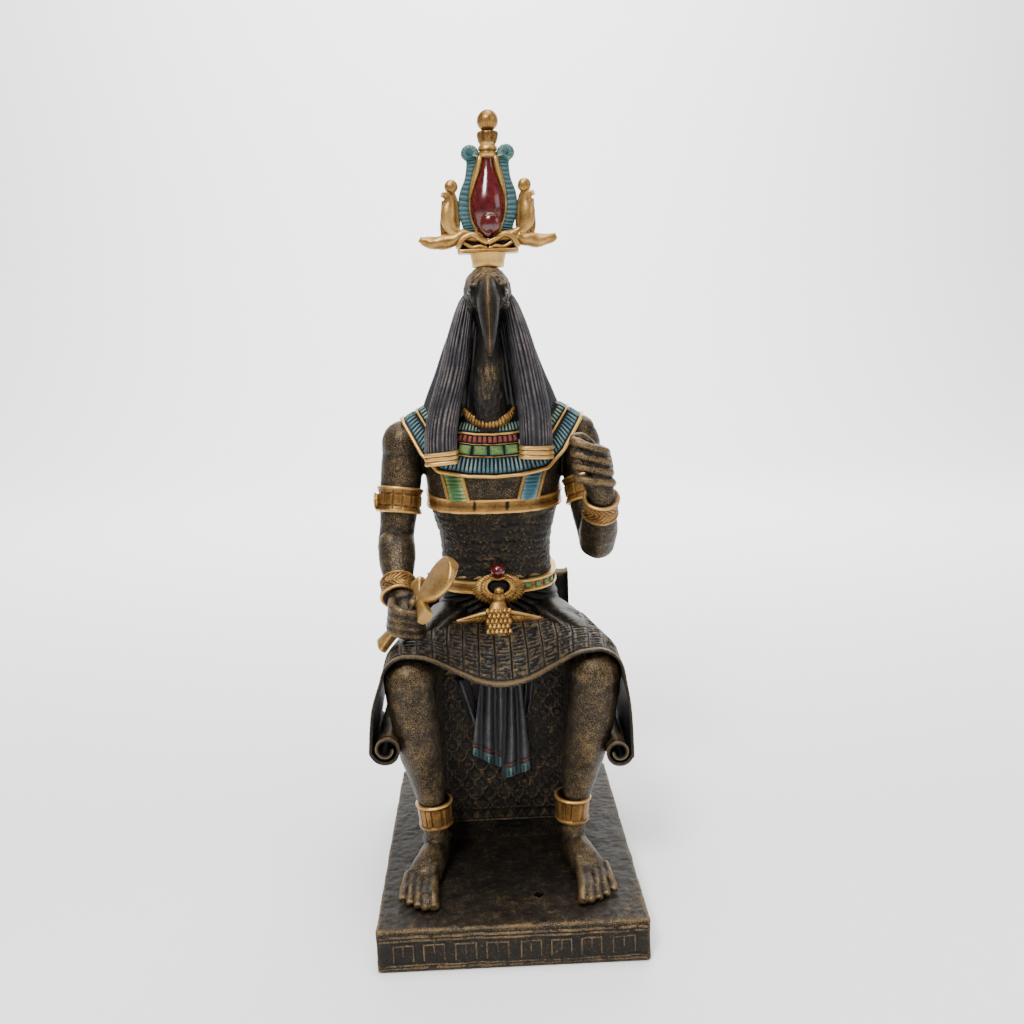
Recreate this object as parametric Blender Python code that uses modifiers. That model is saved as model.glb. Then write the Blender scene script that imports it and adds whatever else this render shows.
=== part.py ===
"""A seated ibis-headed figure on a block throne, cast in resin and painted as old bronze.

Three castings: the statue with its throne and plinth, the crown set on its head and the ankh
held in its fist. The origin is the middle of the plinth's underside. The figure looks along -Y,
+X is the viewer's right and +Z is up.
"""
import math

import bmesh
import bpy
from mathutils import Matrix, Vector

# Plinth, in metres
PLINTH_WIDTH = 0.096
PLINTH_DEPTH = 0.133
PLINTH_HEIGHT = 0.016
PLINTH_EDGE = 0.0009
SOCKET_DIAMETER = 0.0033
SOCKET_DEPTH = 0.007
SOCKET_PLACE = (0.0100, 0.0195)    # right of the middle, and in from the plinth's front edge
FRIEZE_COUNT = 8
FRIEZE_RELIEF = 0.0006
FRIEZE_STROKE = 0.0011
FRIEZE_MARGIN = 0.0060
FRIEZE_HEIGHT = 0.0070
FRIEZE_RISE = 0.0022
GROOVE_WIDTH = 0.0008
GROOVE_DROP = 0.0022               # from the plinth's top down to its upper groove

# Throne, in metres
THRONE_WIDTH = 0.063
THRONE_BACK_MARGIN = 0.0065
BACKREST_THICKNESS = 0.0075
BACKREST_RISE = 0.0240
BACKREST_ROUND = 0.0030
PANEL_RELIEF = 0.0007
PANEL_BORDER = 0.0035

# Figure and ornaments: each is drawn in its own units, and these sizes set the unit
SEATED_HEIGHT = 0.2275             # sole to the flat on top of the head
SEATED_UNITS = 227.5
CROWN_HEIGHT = 0.0590              # underside of the crown to the top of its ball
CROWN_UNITS = 59.0
CROWN_LEAN = 0.03                  # how far it leans to the right for its height
ANKH_LENGTH = 0.0470
ANKH_UNITS = 47.0
ANKH_THICKNESS = 0.0042

# Fits, in metres
CLEARANCE = 0.0003                 # between two castings that touch
CASTING_GRAIN = 0.0010             # how finely the soft forms are blended
WELD = 0.000001                    # closes the loose caps of a curve
STATUE_SHARE = 0.40                # shares of a whole casting's faces that are kept
CROWN_SHARE = 0.58
SOFT_SHARE = 0.036                 # share of the blended faces that is kept

UNIT = SEATED_HEIGHT / SEATED_UNITS
CROWN_UNIT = CROWN_HEIGHT / CROWN_UNITS
ANKH_UNIT = ANKH_LENGTH / ANKH_UNITS
TAU = math.tau
SOLVER = "MANIFOLD"                # the skins cross at slants where EXACT leaves open edges


def empty_scene():
    for item in list(bpy.data.objects):
        bpy.data.objects.remove(item, do_unlink=True)


def collection(name):
    group = bpy.data.collections.new(name)
    bpy.context.scene.collection.children.link(group)
    return group


empty_scene()
PARTS = collection("thoth_statue")
CUTTERS = collection("cutters")
SHAPES = collection("shapes")


def at(x, y, z):
    """A point of the figure, in its units, measured from the middle of the plinth's top."""
    return Vector((x * UNIT, y * UNIT, PLINTH_HEIGHT + z * UNIT))


def material(name, colour, roughness, metallic):
    finish = bpy.data.materials.new(name)
    finish.use_nodes = True
    shader = finish.node_tree.nodes["Principled BSDF"]
    shader.inputs["Base Color"].default_value = (*colour, 1.0)
    shader.inputs["Roughness"].default_value = roughness
    shader.inputs["Metallic"].default_value = metallic
    return finish


def from_bmesh(name, mesh):
    bmesh.ops.recalc_face_normals(mesh, faces=mesh.faces)
    data = bpy.data.meshes.new(name)
    mesh.to_mesh(data)
    mesh.free()
    shape = bpy.data.objects.new(name, data)
    SHAPES.objects.link(shape)
    return shape


def baked(shape):
    """Replaces an object by a plain mesh of what its modifiers, curve and place give."""
    graph = bpy.context.evaluated_depsgraph_get()
    data = bpy.data.meshes.new_from_object(shape.evaluated_get(graph))
    data.transform(shape.matrix_world)
    mesh = bmesh.new()
    mesh.from_mesh(data)
    if shape.type == "CURVE":
        bmesh.ops.remove_doubles(mesh, verts=mesh.verts, dist=WELD)
    name = shape.name
    bpy.data.objects.remove(shape, do_unlink=True)
    bpy.data.meshes.remove(data)
    return from_bmesh(name, mesh)


def loft(name, rings):
    """A closed skin over rings of equal count, flat at both ends."""
    mesh = bmesh.new()
    rows = [[mesh.verts.new(point) for point in ring] for ring in rings]
    count = len(rows[0])
    for low, high in zip(rows, rows[1:]):
        for i in range(count):
            j = (i + 1) % count
            mesh.faces.new((low[i], low[j], high[j], high[i]))
    mesh.faces.new(rows[0])
    mesh.faces.new(rows[-1])
    bmesh.ops.triangulate(mesh, faces=mesh.faces)
    return from_bmesh(name, mesh)


def ring(centre, side, up, half_side, half_up, sides, power=2.0):
    """Points round an oval, which grows squarer as power rises above 2."""
    points = []
    for i in range(sides):
        angle = TAU * i / sides
        c, s = math.cos(angle), math.sin(angle)
        a = math.copysign(abs(c) ** (2.0 / power), c)
        b = math.copysign(abs(s) ** (2.0 / power), s)
        points.append(centre + side * (half_side * a) + up * (half_up * b))
    return points


def limb(name, stations, side=(1, 0, 0), sides=14, power=2.0, domed=True, place=at, unit=None):
    """A rounded limb through stations of (x, y, z, half width, half depth)."""
    size = UNIT if unit is None else unit
    centres = [place(*s[:3]) for s in stations]
    side = Vector(side)
    rings = []
    last = len(stations) - 1
    for i, station in enumerate(stations):
        along = (centres[min(i + 1, last)] - centres[max(i - 1, 0)]).normalized()
        across = (side - along * side.dot(along)).normalized()
        up = along.cross(across)
        wide, deep = station[3] * size, station[4] * size
        if domed and i in (0, last):
            outward = -along if i == 0 else along
            dome = []
            for share in (0.0, 0.45, 0.8):
                cut = math.sqrt(1.0 - share * share)
                lift = outward * (share * min(wide, deep) * 0.8)
                dome.append(ring(centres[i] + lift, across, up, wide * cut, deep * cut, sides, power))
            rings.extend(reversed(dome) if i == 0 else dome)
        else:
            rings.append(ring(centres[i], across, up, wide, deep, sides, power))
    return loft(name, rings)


def ball(name, centre, radii, turn=None, segments=14, rows=9):
    mesh = bmesh.new()
    spin = turn.to_4x4() if turn is not None else Matrix.Identity(4)
    place = Matrix.Translation(centre) @ spin @ Matrix.Diagonal((*radii, 1.0))
    bmesh.ops.create_uvsphere(mesh, u_segments=segments, v_segments=rows, radius=1.0, matrix=place)
    return from_bmesh(name, mesh)


def block(name, low, high, edge=0.0, segments=1, top_only=False):
    """A box between two corners, its edges cut back all round or just along its top."""
    mesh = bmesh.new()
    low, high = Vector(low), Vector(high)
    size = high - low
    place = Matrix.Translation((low + high) / 2) @ Matrix.Diagonal((*size, 1.0))
    bmesh.ops.create_cube(mesh, size=1.0, matrix=place)
    if edge > 0.0:
        rims = [e for e in mesh.edges if not top_only or min(v.co.z for v in e.verts) > high.z - edge]
        bmesh.ops.bevel(mesh, geom=rims, offset=edge, segments=segments, affect="EDGES")
    return from_bmesh(name, mesh)


def tilted_block(name, centre, axes, halves, edge=0.0):
    """A box along three given directions, with its half sizes."""
    mesh = bmesh.new()
    turn = Matrix([Vector(a).normalized() for a in axes]).transposed().to_4x4()
    place = Matrix.Translation(centre) @ turn @ Matrix.Diagonal((*[2 * h for h in halves], 1.0))
    bmesh.ops.create_cube(mesh, size=1.0, matrix=place)
    if edge > 0.0:
        bmesh.ops.bevel(mesh, geom=mesh.edges[:], offset=edge, segments=1, affect="EDGES")
    return from_bmesh(name, mesh)


def tube(name, points, radius, resolution=2, cyclic=False):
    """A round rod along points, with one radius or one for each point."""
    curve = bpy.data.curves.new(name, "CURVE")
    curve.dimensions = "3D"
    curve.bevel_depth = 1.0
    curve.bevel_resolution = resolution
    curve.use_fill_caps = True
    line = curve.splines.new("POLY")
    line.points.add(len(points) - 1)
    line.use_cyclic_u = cyclic
    radii = [radius] * len(points) if isinstance(radius, float) else radius
    for knot, point, size in zip(line.points, points, radii):
        knot.co = (*point, 1.0)
        knot.radius = size
    shape = bpy.data.objects.new(name, curve)
    SHAPES.objects.link(shape)
    return baked(shape)


def cuff(name, centre, along, half_side, half_deep, length, thick, flare=1.0):
    """A raised band round a limb, solid right through so that it joins the limb."""
    along = Vector(along).normalized()
    across = (Vector((1, 0, 0)) - along * along.x).normalized()
    up = along.cross(across)
    rings = []
    for share, grow in ((-0.5, 0.7), (-0.42, 1.0), (0.42, 1.0), (0.5, 0.7)):
        spread = 1.0 + (flare - 1.0) * (share + 0.5)
        rings.append(ring(centre + along * (share * length), across, up,
                          (half_side + thick * grow) * spread,
                          (half_deep + thick * grow) * spread, CUFF_SIDES))
    return loft(name, rings)


def turned(name, profile, centre, steps=16):
    """A solid of revolution from pairs of radius and height, top down."""
    mesh = bmesh.new()
    line = [mesh.verts.new((radius, 0.0, height)) for radius, height in profile]
    for upper, lower in zip(line, line[1:]):
        mesh.edges.new((upper, lower))
    data = bpy.data.meshes.new(name)
    mesh.to_mesh(data)
    mesh.free()
    shape = bpy.data.objects.new(name, data)
    SHAPES.objects.link(shape)
    shape.location = centre
    screw = shape.modifiers.new("screw", "SCREW")
    screw.steps = steps
    screw.render_steps = steps
    screw.use_merge_vertices = True
    screw.merge_threshold = WELD
    bpy.context.view_layer.update()
    solid = baked(shape)
    mesh = bmesh.new()
    mesh.from_mesh(solid.data)
    bmesh.ops.holes_fill(mesh, edges=[e for e in mesh.edges if e.is_boundary])
    bmesh.ops.recalc_face_normals(mesh, faces=mesh.faces)
    mesh.to_mesh(solid.data)
    mesh.free()
    return solid


def slab(name, outline, origin, across, up, depth):
    """A flat outline extruded both ways from its plane: outline in pairs along across and up."""
    curve = bpy.data.curves.new(name, "CURVE")
    curve.dimensions = "2D"
    curve.fill_mode = "BOTH"
    curve.extrude = depth / 2
    line = curve.splines.new("POLY")
    line.points.add(len(outline) - 1)
    line.use_cyclic_u = True
    for knot, (a, b) in zip(line.points, outline):
        knot.co = (a, b, 0.0, 1.0)
    shape = bpy.data.objects.new(name, curve)
    SHAPES.objects.link(shape)
    across, up = Vector(across).normalized(), Vector(up).normalized()
    turn = Matrix((across, up, across.cross(up))).transposed().to_4x4()
    shape.matrix_world = Matrix.Translation(origin) @ turn
    bpy.context.view_layer.update()
    return baked(shape)


def joined(name, shapes):
    """One object that holds several shapes as they are."""
    mesh = bmesh.new()
    for shape in shapes:
        mesh.from_mesh(shape.data)
        bpy.data.objects.remove(shape, do_unlink=True)
    return from_bmesh(name, mesh)


def blended(name, shapes, grain, share):
    """Soft forms run into one skin, as wax is, and then thinned out."""
    soft = joined(name, shapes)
    remesh = soft.modifiers.new("blend", "REMESH")
    remesh.mode = "VOXEL"
    remesh.voxel_size = grain
    smooth = soft.modifiers.new("smooth", "SMOOTH")
    smooth.factor = 0.5
    smooth.iterations = 1
    thin = soft.modifiers.new("thin", "DECIMATE")
    thin.ratio = share
    return baked(soft)


def whole_body(shape):
    """Drops the loose crumbs that a cut leaves, and keeps the largest body."""
    mesh = bmesh.new()
    mesh.from_mesh(shape.data)
    left = set(mesh.verts)
    bodies = []
    while left:
        seed = left.pop()
        found, front = [seed], [seed]
        while front:
            for edge in front.pop().link_edges:
                for vert in edge.verts:
                    if vert in left:
                        left.discard(vert)
                        found.append(vert)
                        front.append(vert)
        bodies.append(found)
    bodies.sort(key=len)
    for crumb in bodies[:-1]:
        bmesh.ops.delete(mesh, geom=crumb, context="VERTS")
    mesh.to_mesh(shape.data)
    mesh.free()
    return shape


def thinned(shape, share):
    """Collapses the slivers that a union leaves along its seams."""
    thin = shape.modifiers.new("thin", "DECIMATE")
    thin.ratio = share
    thin.use_collapse_triangulate = True
    return without_fins(baked(shape))


def without_fins(shape):
    """Deletes the stray faces that stand on an edge of the skin with their other edges free."""
    mesh = bmesh.new()
    mesh.from_mesh(shape.data)
    fins = {face for edge in mesh.edges if len(edge.link_faces) == 1 for face in edge.link_faces}
    bmesh.ops.delete(mesh, geom=list(fins), context="FACES")
    mesh.to_mesh(shape.data)
    mesh.free()
    return shape


def cut_or_join(body, tools, operation):
    """A Boolean of the body with all the tools at once."""
    for tool in tools:
        SHAPES.objects.unlink(tool)
        CUTTERS.objects.link(tool)
        tool.hide_render = True
        tool.display_type = "WIRE"
    step = body.modifiers.new(operation.lower(), "BOOLEAN")
    step.operation = operation
    step.solver = SOLVER
    step.operand_type = "COLLECTION"
    step.collection = CUTTERS
    result = baked(body)
    for tool in tools:
        bpy.data.objects.remove(tool, do_unlink=True)
    return whole_body(result)


def finished(name, shape, finish):
    """Puts a piece into the parts collection under its name, smooth with sharp creases."""
    SHAPES.objects.unlink(shape)
    PARTS.objects.link(shape)
    shape.name = name
    shape.data.name = name
    shape.data.materials.append(finish)
    shape.data.shade_smooth()
    shape.data.set_sharp_from_angle(angle=math.radians(38))
    return shape


def mix(a, b, share):
    return a + (b - a) * share


# Figure, in its units: x to the viewer's right, y away from the viewer, z up from the soles
SEAT_TOP = 73.0
THRONE_FRONT = -2.5
CUFF_SIDES = 20
SHOULDER = {-1: (-37.0, 27.0, 158.0), 1: (34.8, 27.0, 156.0)}
ELBOW = {-1: (-41.3, 20.0, 121.0), 1: (40.6, 15.0, 117.5)}
WRIST = {-1: (-39.5, -2.0, 106.0), 1: (40.8, -1.0, 139.0)}
FIST = {-1: (-35.0, -14.5, 97.8), 1: (36.6, -4.5, 153.5)}
ANKH_GRIP = (-36.2, -15.9, 97.3)   # where the ankh passes through the resting fist
KNEE = {-1: (-35.4, -23.0, 76.5), 1: (34.8, -23.0, 76.5)}
ANKLE = {-1: (-28.0, -20.5, 14.0), 1: (25.0, -20.5, 14.0)}
TOES = {-1: (-33.5, -52.0, 3.0), 1: (31.0, -53.0, 3.0)}
HIP = {-1: (-15.0, 34.0, 82.0), 1: (15.0, 34.0, 82.0)}


def leg(sign):
    hip, knee, ankle, toes = HIP[sign], KNEE[sign], ANKLE[sign], TOES[sign]
    thigh = limb("thigh", [
        (hip[0], hip[1], hip[2], 13.0, 12.0),
        (mix(hip[0], knee[0], 0.35), 16.0, 81.0, 12.5, 12.0),
        (mix(hip[0], knee[0], 0.75), -4.0, 79.0, 11.0, 10.8),
        (knee[0], -20.0, 76.6, 10.2, 9.6)])
    bend = ball("knee", at(knee[0], -23.5, 76.0), [v * UNIT for v in (9.9, 9.8, 9.8)])
    shin = limb("shin", [
        (knee[0], -22.5, 74.0, 9.7, 9.2),
        (mix(knee[0], ankle[0], 0.12), -21.5, 63.0, 9.2, 9.6),
        (mix(knee[0], ankle[0], 0.35), -20.0, 49.0, 8.7, 10.2),
        (mix(knee[0], ankle[0], 0.62), -19.5, 36.0, 7.2, 8.2),
        (mix(knee[0], ankle[0], 0.88), -20.0, 22.0, 5.2, 5.8),
        (ankle[0], ankle[1], 12.0, 5.0, 5.8),
        (ankle[0], ankle[1] + 0.5, 6.0, 5.3, 7.2)])
    foot = limb("foot", [
        (ankle[0] - 0.2 * sign, -12.5, 3.6, 4.6, 4.4),
        (ankle[0], -20.0, 5.0, 5.4, 6.0),
        (mix(ankle[0], toes[0], 0.35), -29.0, 5.6, 6.0, 6.0),
        (mix(ankle[0], toes[0], 0.75), -38.5, 3.8, 7.0, 4.4),
        (toes[0] + 0.6 * sign, -46.0, 2.4, 7.3, 3.0)])
    return [thigh, bend, shin, foot]


def foot_toes(sign):
    """Five toes, the big one on the inner side."""
    toes = TOES[sign]
    pieces = []
    for i in range(5):
        share = i / 4
        reach = (-57.2, -56.9, -55.4, -53.2, -50.2)[i]
        size = (2.35, 1.75, 1.65, 1.6, 1.5)[i]
        x_tip = toes[0] + sign * mix(-5.2, 5.6, share)
        x_root = toes[0] + sign * mix(-4.6, 5.6, share) - 0.4 * sign
        pieces.append(limb("toe", [
            (x_root, -43.0, 3.0, size, 2.2),
            (mix(x_root, x_tip, 0.6), reach + 5.2, 2.4, size * 0.92, size * 0.95),
            (x_tip, reach + size * 0.9, 1.5, size, size * 0.85)], sides=8))
    return pieces


def arm(sign):
    shoulder, elbow, wrist = SHOULDER[sign], ELBOW[sign], WRIST[sign]
    upper = limb("upper_arm", [
        (shoulder[0] - 1.0 * sign, shoulder[1], shoulder[2] + 3.5, 8.6, 9.5),
        (mix(shoulder[0], elbow[0], 0.2) + 0.4 * sign, mix(shoulder[1], elbow[1], 0.2),
         mix(shoulder[2], elbow[2], 0.2), 8.6, 9.6),
        (mix(shoulder[0], elbow[0], 0.55), mix(shoulder[1], elbow[1], 0.55),
         mix(shoulder[2], elbow[2], 0.55), 8.1, 8.6),
        (mix(shoulder[0], elbow[0], 0.85), mix(shoulder[1], elbow[1], 0.85),
         mix(shoulder[2], elbow[2], 0.85), 7.2, 7.8),
        (elbow[0], elbow[1], elbow[2], 7.3, 7.3)])
    fore = limb("forearm", [
        (elbow[0], elbow[1], elbow[2], 7.4, 7.2),
        (mix(elbow[0], wrist[0], 0.35), mix(elbow[1], wrist[1], 0.35),
         mix(elbow[2], wrist[2], 0.35), 7.7, 7.3),
        (mix(elbow[0], wrist[0], 0.75), mix(elbow[1], wrist[1], 0.75),
         mix(elbow[2], wrist[2], 0.75), 6.2, 5.8),
        (*wrist, 5.3, 4.9),
        (*[mix(wrist[k], FIST[sign][k], 0.5) for k in range(3)], 5.8, 5.2)])
    return [upper, fore]


def palms():
    """The mass of each hand behind its fingers."""
    x, y, z = FIST[-1]
    resting = ball("palm", at(x - 0.5, y + 1.0, z + 0.5), [v * UNIT for v in (6.6, 7.2, 6.8)])
    x, y, z = FIST[1]
    raised = ball("palm", at(x + 3.4, y + 1.6, z - 3.0), [v * UNIT for v in (5.6, 5.4, 9.4)])
    return [resting, raised]


def resting_fingers():
    """The viewer's left hand, closed round the ankh on the thigh."""
    x, y, z = FIST[-1]
    pieces = []
    for i in range(4):
        rise = 4.4 - 2.9 * i
        lean = -0.9 * i
        pieces.append(limb("finger", [
            (x - 6.0 + lean * 0.4, y + 1.0, z + rise + 1.4, 1.9, 2.0),
            (x - 5.2 + lean * 0.4, y - 5.0, z + rise + 0.4, 1.9, 2.0),
            (x - 0.5, y - 8.0, z + rise - 1.0, 1.8, 1.9),
            (x + 4.2, y - 6.4, z + rise - 2.2, 1.6, 1.7),
            (x + 5.4, y - 2.5, z + rise - 2.6, 1.5, 1.6)], side=(0, 0, 1), sides=8))
    pieces.append(limb("thumb", [
        (x + 1.0, y + 5.0, z + 6.0, 2.2, 2.2),
        (x + 3.4, y - 0.5, z + 7.2, 2.1, 2.1),
        (x + 2.0, y - 5.6, z + 6.2, 1.8, 1.8)], side=(0, 0, 1), sides=8))
    return pieces


def raised_fingers():
    """The viewer's right hand, closed round a staff that is lost."""
    x, y, z = FIST[1]
    pieces = []
    for i in range(4):
        knuckle, tip = 4.4 - 4.0 * i, 7.8 - 4.7 * i
        pieces.append(limb("finger", [
            (x + 5.2 + 0.7 * i, y + 1.0, z + knuckle - 1.4, 2.1, 2.2),
            (x + 3.8 + 0.6 * i, y - 4.2, z + knuckle - 0.4, 2.1, 2.2),
            (x - 1.6 + 0.5 * i, y - 6.2, z + mix(knuckle, tip, 0.5), 2.0, 2.1),
            (x - 6.6 + 0.4 * i, y - 4.6, z + tip, 1.9, 2.0),
            (x - 7.4 + 0.5 * i, y + 0.2, z + tip, 1.6, 1.7)], side=(0, 0, 1), sides=8))
    pieces.append(limb("thumb", [
        (x + 2.0, y + 5.0, z + 3.5, 2.4, 2.4),
        (x - 2.6, y + 4.2, z + 8.4, 2.1, 2.1),
        (x - 6.6, y + 0.6, z + 9.0, 1.7, 1.7)], side=(0, 0, 1), sides=8))
    return pieces


def torso():
    body = limb("torso", [
        (0, 33, 78, 26.0, 17.5),
        (0, 33, 92, 25.2, 17.5),
        (0, 32, 102, 23.4, 17.0),
        (-0.6, 31, 112, 22.8, 15.5),
        (-0.6, 30, 121, 23.4, 15.5),
        (-0.6, 29, 131, 25.8, 16.8),
        (-0.6, 28, 140, 27.4, 19.0),
        (-0.6, 28, 149, 28.4, 19.5),
        (-0.6, 28, 158, 30.0, 18.5),
        (-0.6, 28, 166, 31.0, 15.5),
        (-0.6, 28, 172, 25.0, 12.5),
        (-0.6, 27, 179, 14.0, 10.5)], sides=26, power=2.5)
    chest = [ball("breast", at(10.5 * s - 0.6, 17.0, 149), [v * UNIT for v in (12, 7.5, 9)])
             for s in (-1, 1)]
    slope = [limb("shoulder_slope", [
        (7.0 * s, 27, 175, 9, 7.0),
        (20.0 * s, 27, 170.0, 9, 7.0),
        (36.0 * s, 27, 162.0, 9, 7.0)], side=(0, 1, 0)) for s in (-1, 1)]
    armpits = [limb("armpit", [
        (29.0 * s, 26, 135.5, 3.4, 7.0),
        (29.5 * s, 26, 150.0, 6.0, 9.0)]) for s in (-1, 1)]
    return [body] + chest + slope + armpits


def bird_head():
    """The ibis head and its feathered neck, thick where it rests on the chest."""
    neck = limb("neck", [
        (-1.8, 12.2, 170, 7.4, 6.8),
        (-2.0, 8.6, 175.5, 7.3, 7.8),
        (-2.2, 5.4, 184, 6.4, 8.4),
        (-1.4, 4.6, 192.5, 5.2, 8.4),
        (-0.8, 9.0, 203, 4.8, 8.6),
        (-0.6, 13.0, 212, 7.2, 9.8)], sides=18)
    skull = limb("skull", [
        (-0.6, 26.0, 215.5, 8.0, 9.5),
        (-0.6, 20.0, 218.0, 9.2, 10.4),
        (-0.6, 12.0, 218.4, 9.4, 10.0),
        (-0.6, 5.0, 217.4, 8.6, 8.6),
        (-0.6, 0.5, 215.5, 6.4, 6.4)], sides=18)
    brows = [ball("brow", at(-0.6 + 6.0 * s, 2.8, 213.0), [v * UNIT for v in (3.4, 4.0, 3.6)])
             for s in (-1, 1)]
    beak = limb("beak", [
        (-0.6, 2.0, 217.8, 4.6, 7.0),
        (-0.6, -3.6, 214.4, 4.4, 6.0),
        (-0.5, -7.4, 208.5, 3.8, 4.6),
        (-0.5, -7.6, 201.0, 2.4, 3.8),
        (-0.6, -5.2, 195.6, 1.5, 2.4)], sides=14, power=1.7)
    return [neck, skull, beak] + brows


def wig_back():
    """The mass of hair behind the head, down to the shoulders."""
    return limb("wig_back", [
        (-0.8, 22.0, 216.0, 8.8, 11.0),
        (-0.8, 22.0, 209.0, 13.0, 13.6),
        (-0.8, 23.0, 199.0, 17.6, 15.0),
        (-0.8, 24.5, 188.0, 21.8, 16.0),
        (-0.8, 26.0, 178.0, 26.0, 16.6),
        (-0.8, 27.0, 169.0, 29.2, 16.8),
        (-0.8, 28.0, 162.0, 29.0, 16.6)], sides=24, power=2.2)


LAPPET_BOTTOM = {-1: (-20.8, 4.6, 153.6), 1: (16.3, 4.6, 154.8)}
LAPPET_RIDGES = 6


def lappet_sections(sign):
    """Middle, half width and half depth of a front lock, from temple to band."""
    x, y, z = LAPPET_BOTTOM[sign]
    return [
        (sign * 6.6 - 0.6, 17.0, 219.0, 1.2, 4.0),
        (sign * 8.6 - 0.6, 15.4, 214.0, 3.2, 7.4),
        (sign * 11.0 - 0.6, 13.5, 203.0, 4.9, 8.8),
        (sign * 13.6 - 0.6, 11.5, 190.0, 5.8, 8.8),
        (mix(sign * 14.4, x, 0.7), 9.0, 174.0, 6.2, 7.4),
        (x, y + 1.6, z + 10.0, 6.3, 4.6),
        (x, y, z - 1.0, 6.3, 3.4)]


def lappet(sign):
    """A front lock of the wig, fluted on its face."""
    rings = []
    count = LAPPET_RIDGES * 4
    for x, y, z, wide, deep in lappet_sections(sign):
        points = []
        for i in range(count):
            angle = TAU * i / count
            c, s = math.cos(angle), math.sin(angle)
            flute = 0.35 * (1 if i % 2 else -1) if s < 0.1 else 0.0
            a = math.copysign(abs(c) ** 0.8, c) * wide
            b = math.copysign(abs(s) ** 0.8, s) * (deep + flute)
            points.append(at(x + a, y + b, z))
        rings.append(points)
    return loft("lappet", rings)


def lappet_band(sign):
    """The gold tip of a front lock."""
    x, y, z = LAPPET_BOTTOM[sign]
    rings = [ring(at(x, y, z + rise), Vector((1, 0, 0)), Vector((0, 1, 0)), (6.6 + grow) * UNIT,
                  (3.8 + grow) * UNIT, 16, 3.2)
             for rise, grow in ((-1.6, -0.4), (-1.2, 0.3), (4.6, 0.5), (5.0, 0.0))]
    return loft("lappet_band", rings)


def figure():
    soft = torso() + bird_head() + [wig_back()] + palms()
    for sign in (-1, 1):
        soft += leg(sign) + arm(sign)
    return blended("figure", soft, CASTING_GRAIN * UNIT / 0.001, SOFT_SHARE)


def plinth():
    half_w, half_d = PLINTH_WIDTH / 2, PLINTH_DEPTH / 2
    base = block("plinth", (-half_w, -half_d, 0), (half_w, half_d, PLINTH_HEIGHT), PLINTH_EDGE,
                 top_only=True)
    grooves = []
    for height in (PLINTH_HEIGHT - GROOVE_DROP, FRIEZE_RISE - GROOVE_WIDTH):
        grooves.append(block("groove", (-PLINTH_WIDTH, -half_d - 0.001, height),
                             (PLINTH_WIDTH, -half_d + GROOVE_WIDTH / 2, height + GROOVE_WIDTH)))
    x, inset = SOCKET_PLACE
    top = Vector((x, -half_d + inset, PLINTH_HEIGHT))
    socket = turned("socket", [(SOCKET_DIAMETER / 2, 0.001), (SOCKET_DIAMETER / 2, -SOCKET_DEPTH)],
                    top, 12)
    return base, grooves + [socket]


def frieze():
    """Raised open frames with a short middle stroke along the plinth's front."""
    face = -PLINTH_DEPTH / 2
    pitch = (PLINTH_WIDTH - 2 * FRIEZE_MARGIN) / FRIEZE_COUNT
    width = pitch * 0.66
    low, high = FRIEZE_RISE + 0.0006, FRIEZE_RISE + 0.0006 + FRIEZE_HEIGHT
    shapes = []
    for i in range(FRIEZE_COUNT):
        middle = -PLINTH_WIDTH / 2 + FRIEZE_MARGIN + (i + 0.5) * pitch
        bars = [(middle - width / 2, low, FRIEZE_STROKE, FRIEZE_HEIGHT - FRIEZE_STROKE / 2),
                (middle + width / 2 - FRIEZE_STROKE, low, FRIEZE_STROKE,
                 FRIEZE_HEIGHT - FRIEZE_STROKE / 2),
                (middle - FRIEZE_STROKE * 0.4, low, FRIEZE_STROKE * 0.8, FRIEZE_HEIGHT * 0.55),
                (middle - width / 2 - 0.0001, high - FRIEZE_STROKE, width + 0.0002, FRIEZE_STROKE)]
        for x, z, wide, tall in bars:
            shapes.append(block("bar", (x, face - FRIEZE_RELIEF, z),
                                (x + wide, face + FRIEZE_STROKE, z + tall)))
    return shapes


def throne():
    half = THRONE_WIDTH / 2
    back = PLINTH_DEPTH / 2 - THRONE_BACK_MARGIN
    front = at(0, THRONE_FRONT, 0).y
    seat = at(0, 0, SEAT_TOP).z
    sink = PLINTH_HEIGHT - 0.001
    shapes = [block("seat", (-half, front, sink), (half, back, seat), 0.0006)]
    rest_top = seat + BACKREST_RISE
    outline = []
    for cx, start in ((half - BACKREST_ROUND, 0.0), (-half + BACKREST_ROUND, 90.0)):
        for k in range(4):
            angle = math.radians(start + 30.0 * k)
            outline.append((cx + BACKREST_ROUND * math.cos(angle),
                            rest_top - BACKREST_ROUND + BACKREST_ROUND * math.sin(angle)))
    outline += [(-half, sink), (half, sink)]
    shapes.append(slab("backrest", outline, Vector((0, back - BACKREST_THICKNESS / 2 + 0.0002, 0)),
                       (1, 0, 0), (0, 0, 1), BACKREST_THICKNESS + 0.0004))
    low, high = PLINTH_HEIGHT + PANEL_BORDER, seat - PANEL_BORDER
    for sign in (-1, 1):
        side = sign * half
        shapes.append(block("side_panel", (min(side - 0.001, side + sign * PANEL_RELIEF),
                                           front + PANEL_BORDER, low),
                            (max(side + 0.001, side + sign * PANEL_RELIEF),
                             back - PANEL_BORDER, high), 0.0003))
    shapes.append(block("front_panel", (-half + PANEL_BORDER * 2, front - PANEL_RELIEF, low),
                        (half - PANEL_BORDER * 2, front + 0.001, high), 0.0003))
    return shapes


SHEET_THICK = 1.8
SHEET_FRONT = -32.0
SHEET_BACK = 12.0
ROLL = {-1: (-44.6, 51.6, 6.0), 1: (42.2, 46.8, 5.4)}
SHEET_STATIONS = 6


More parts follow.
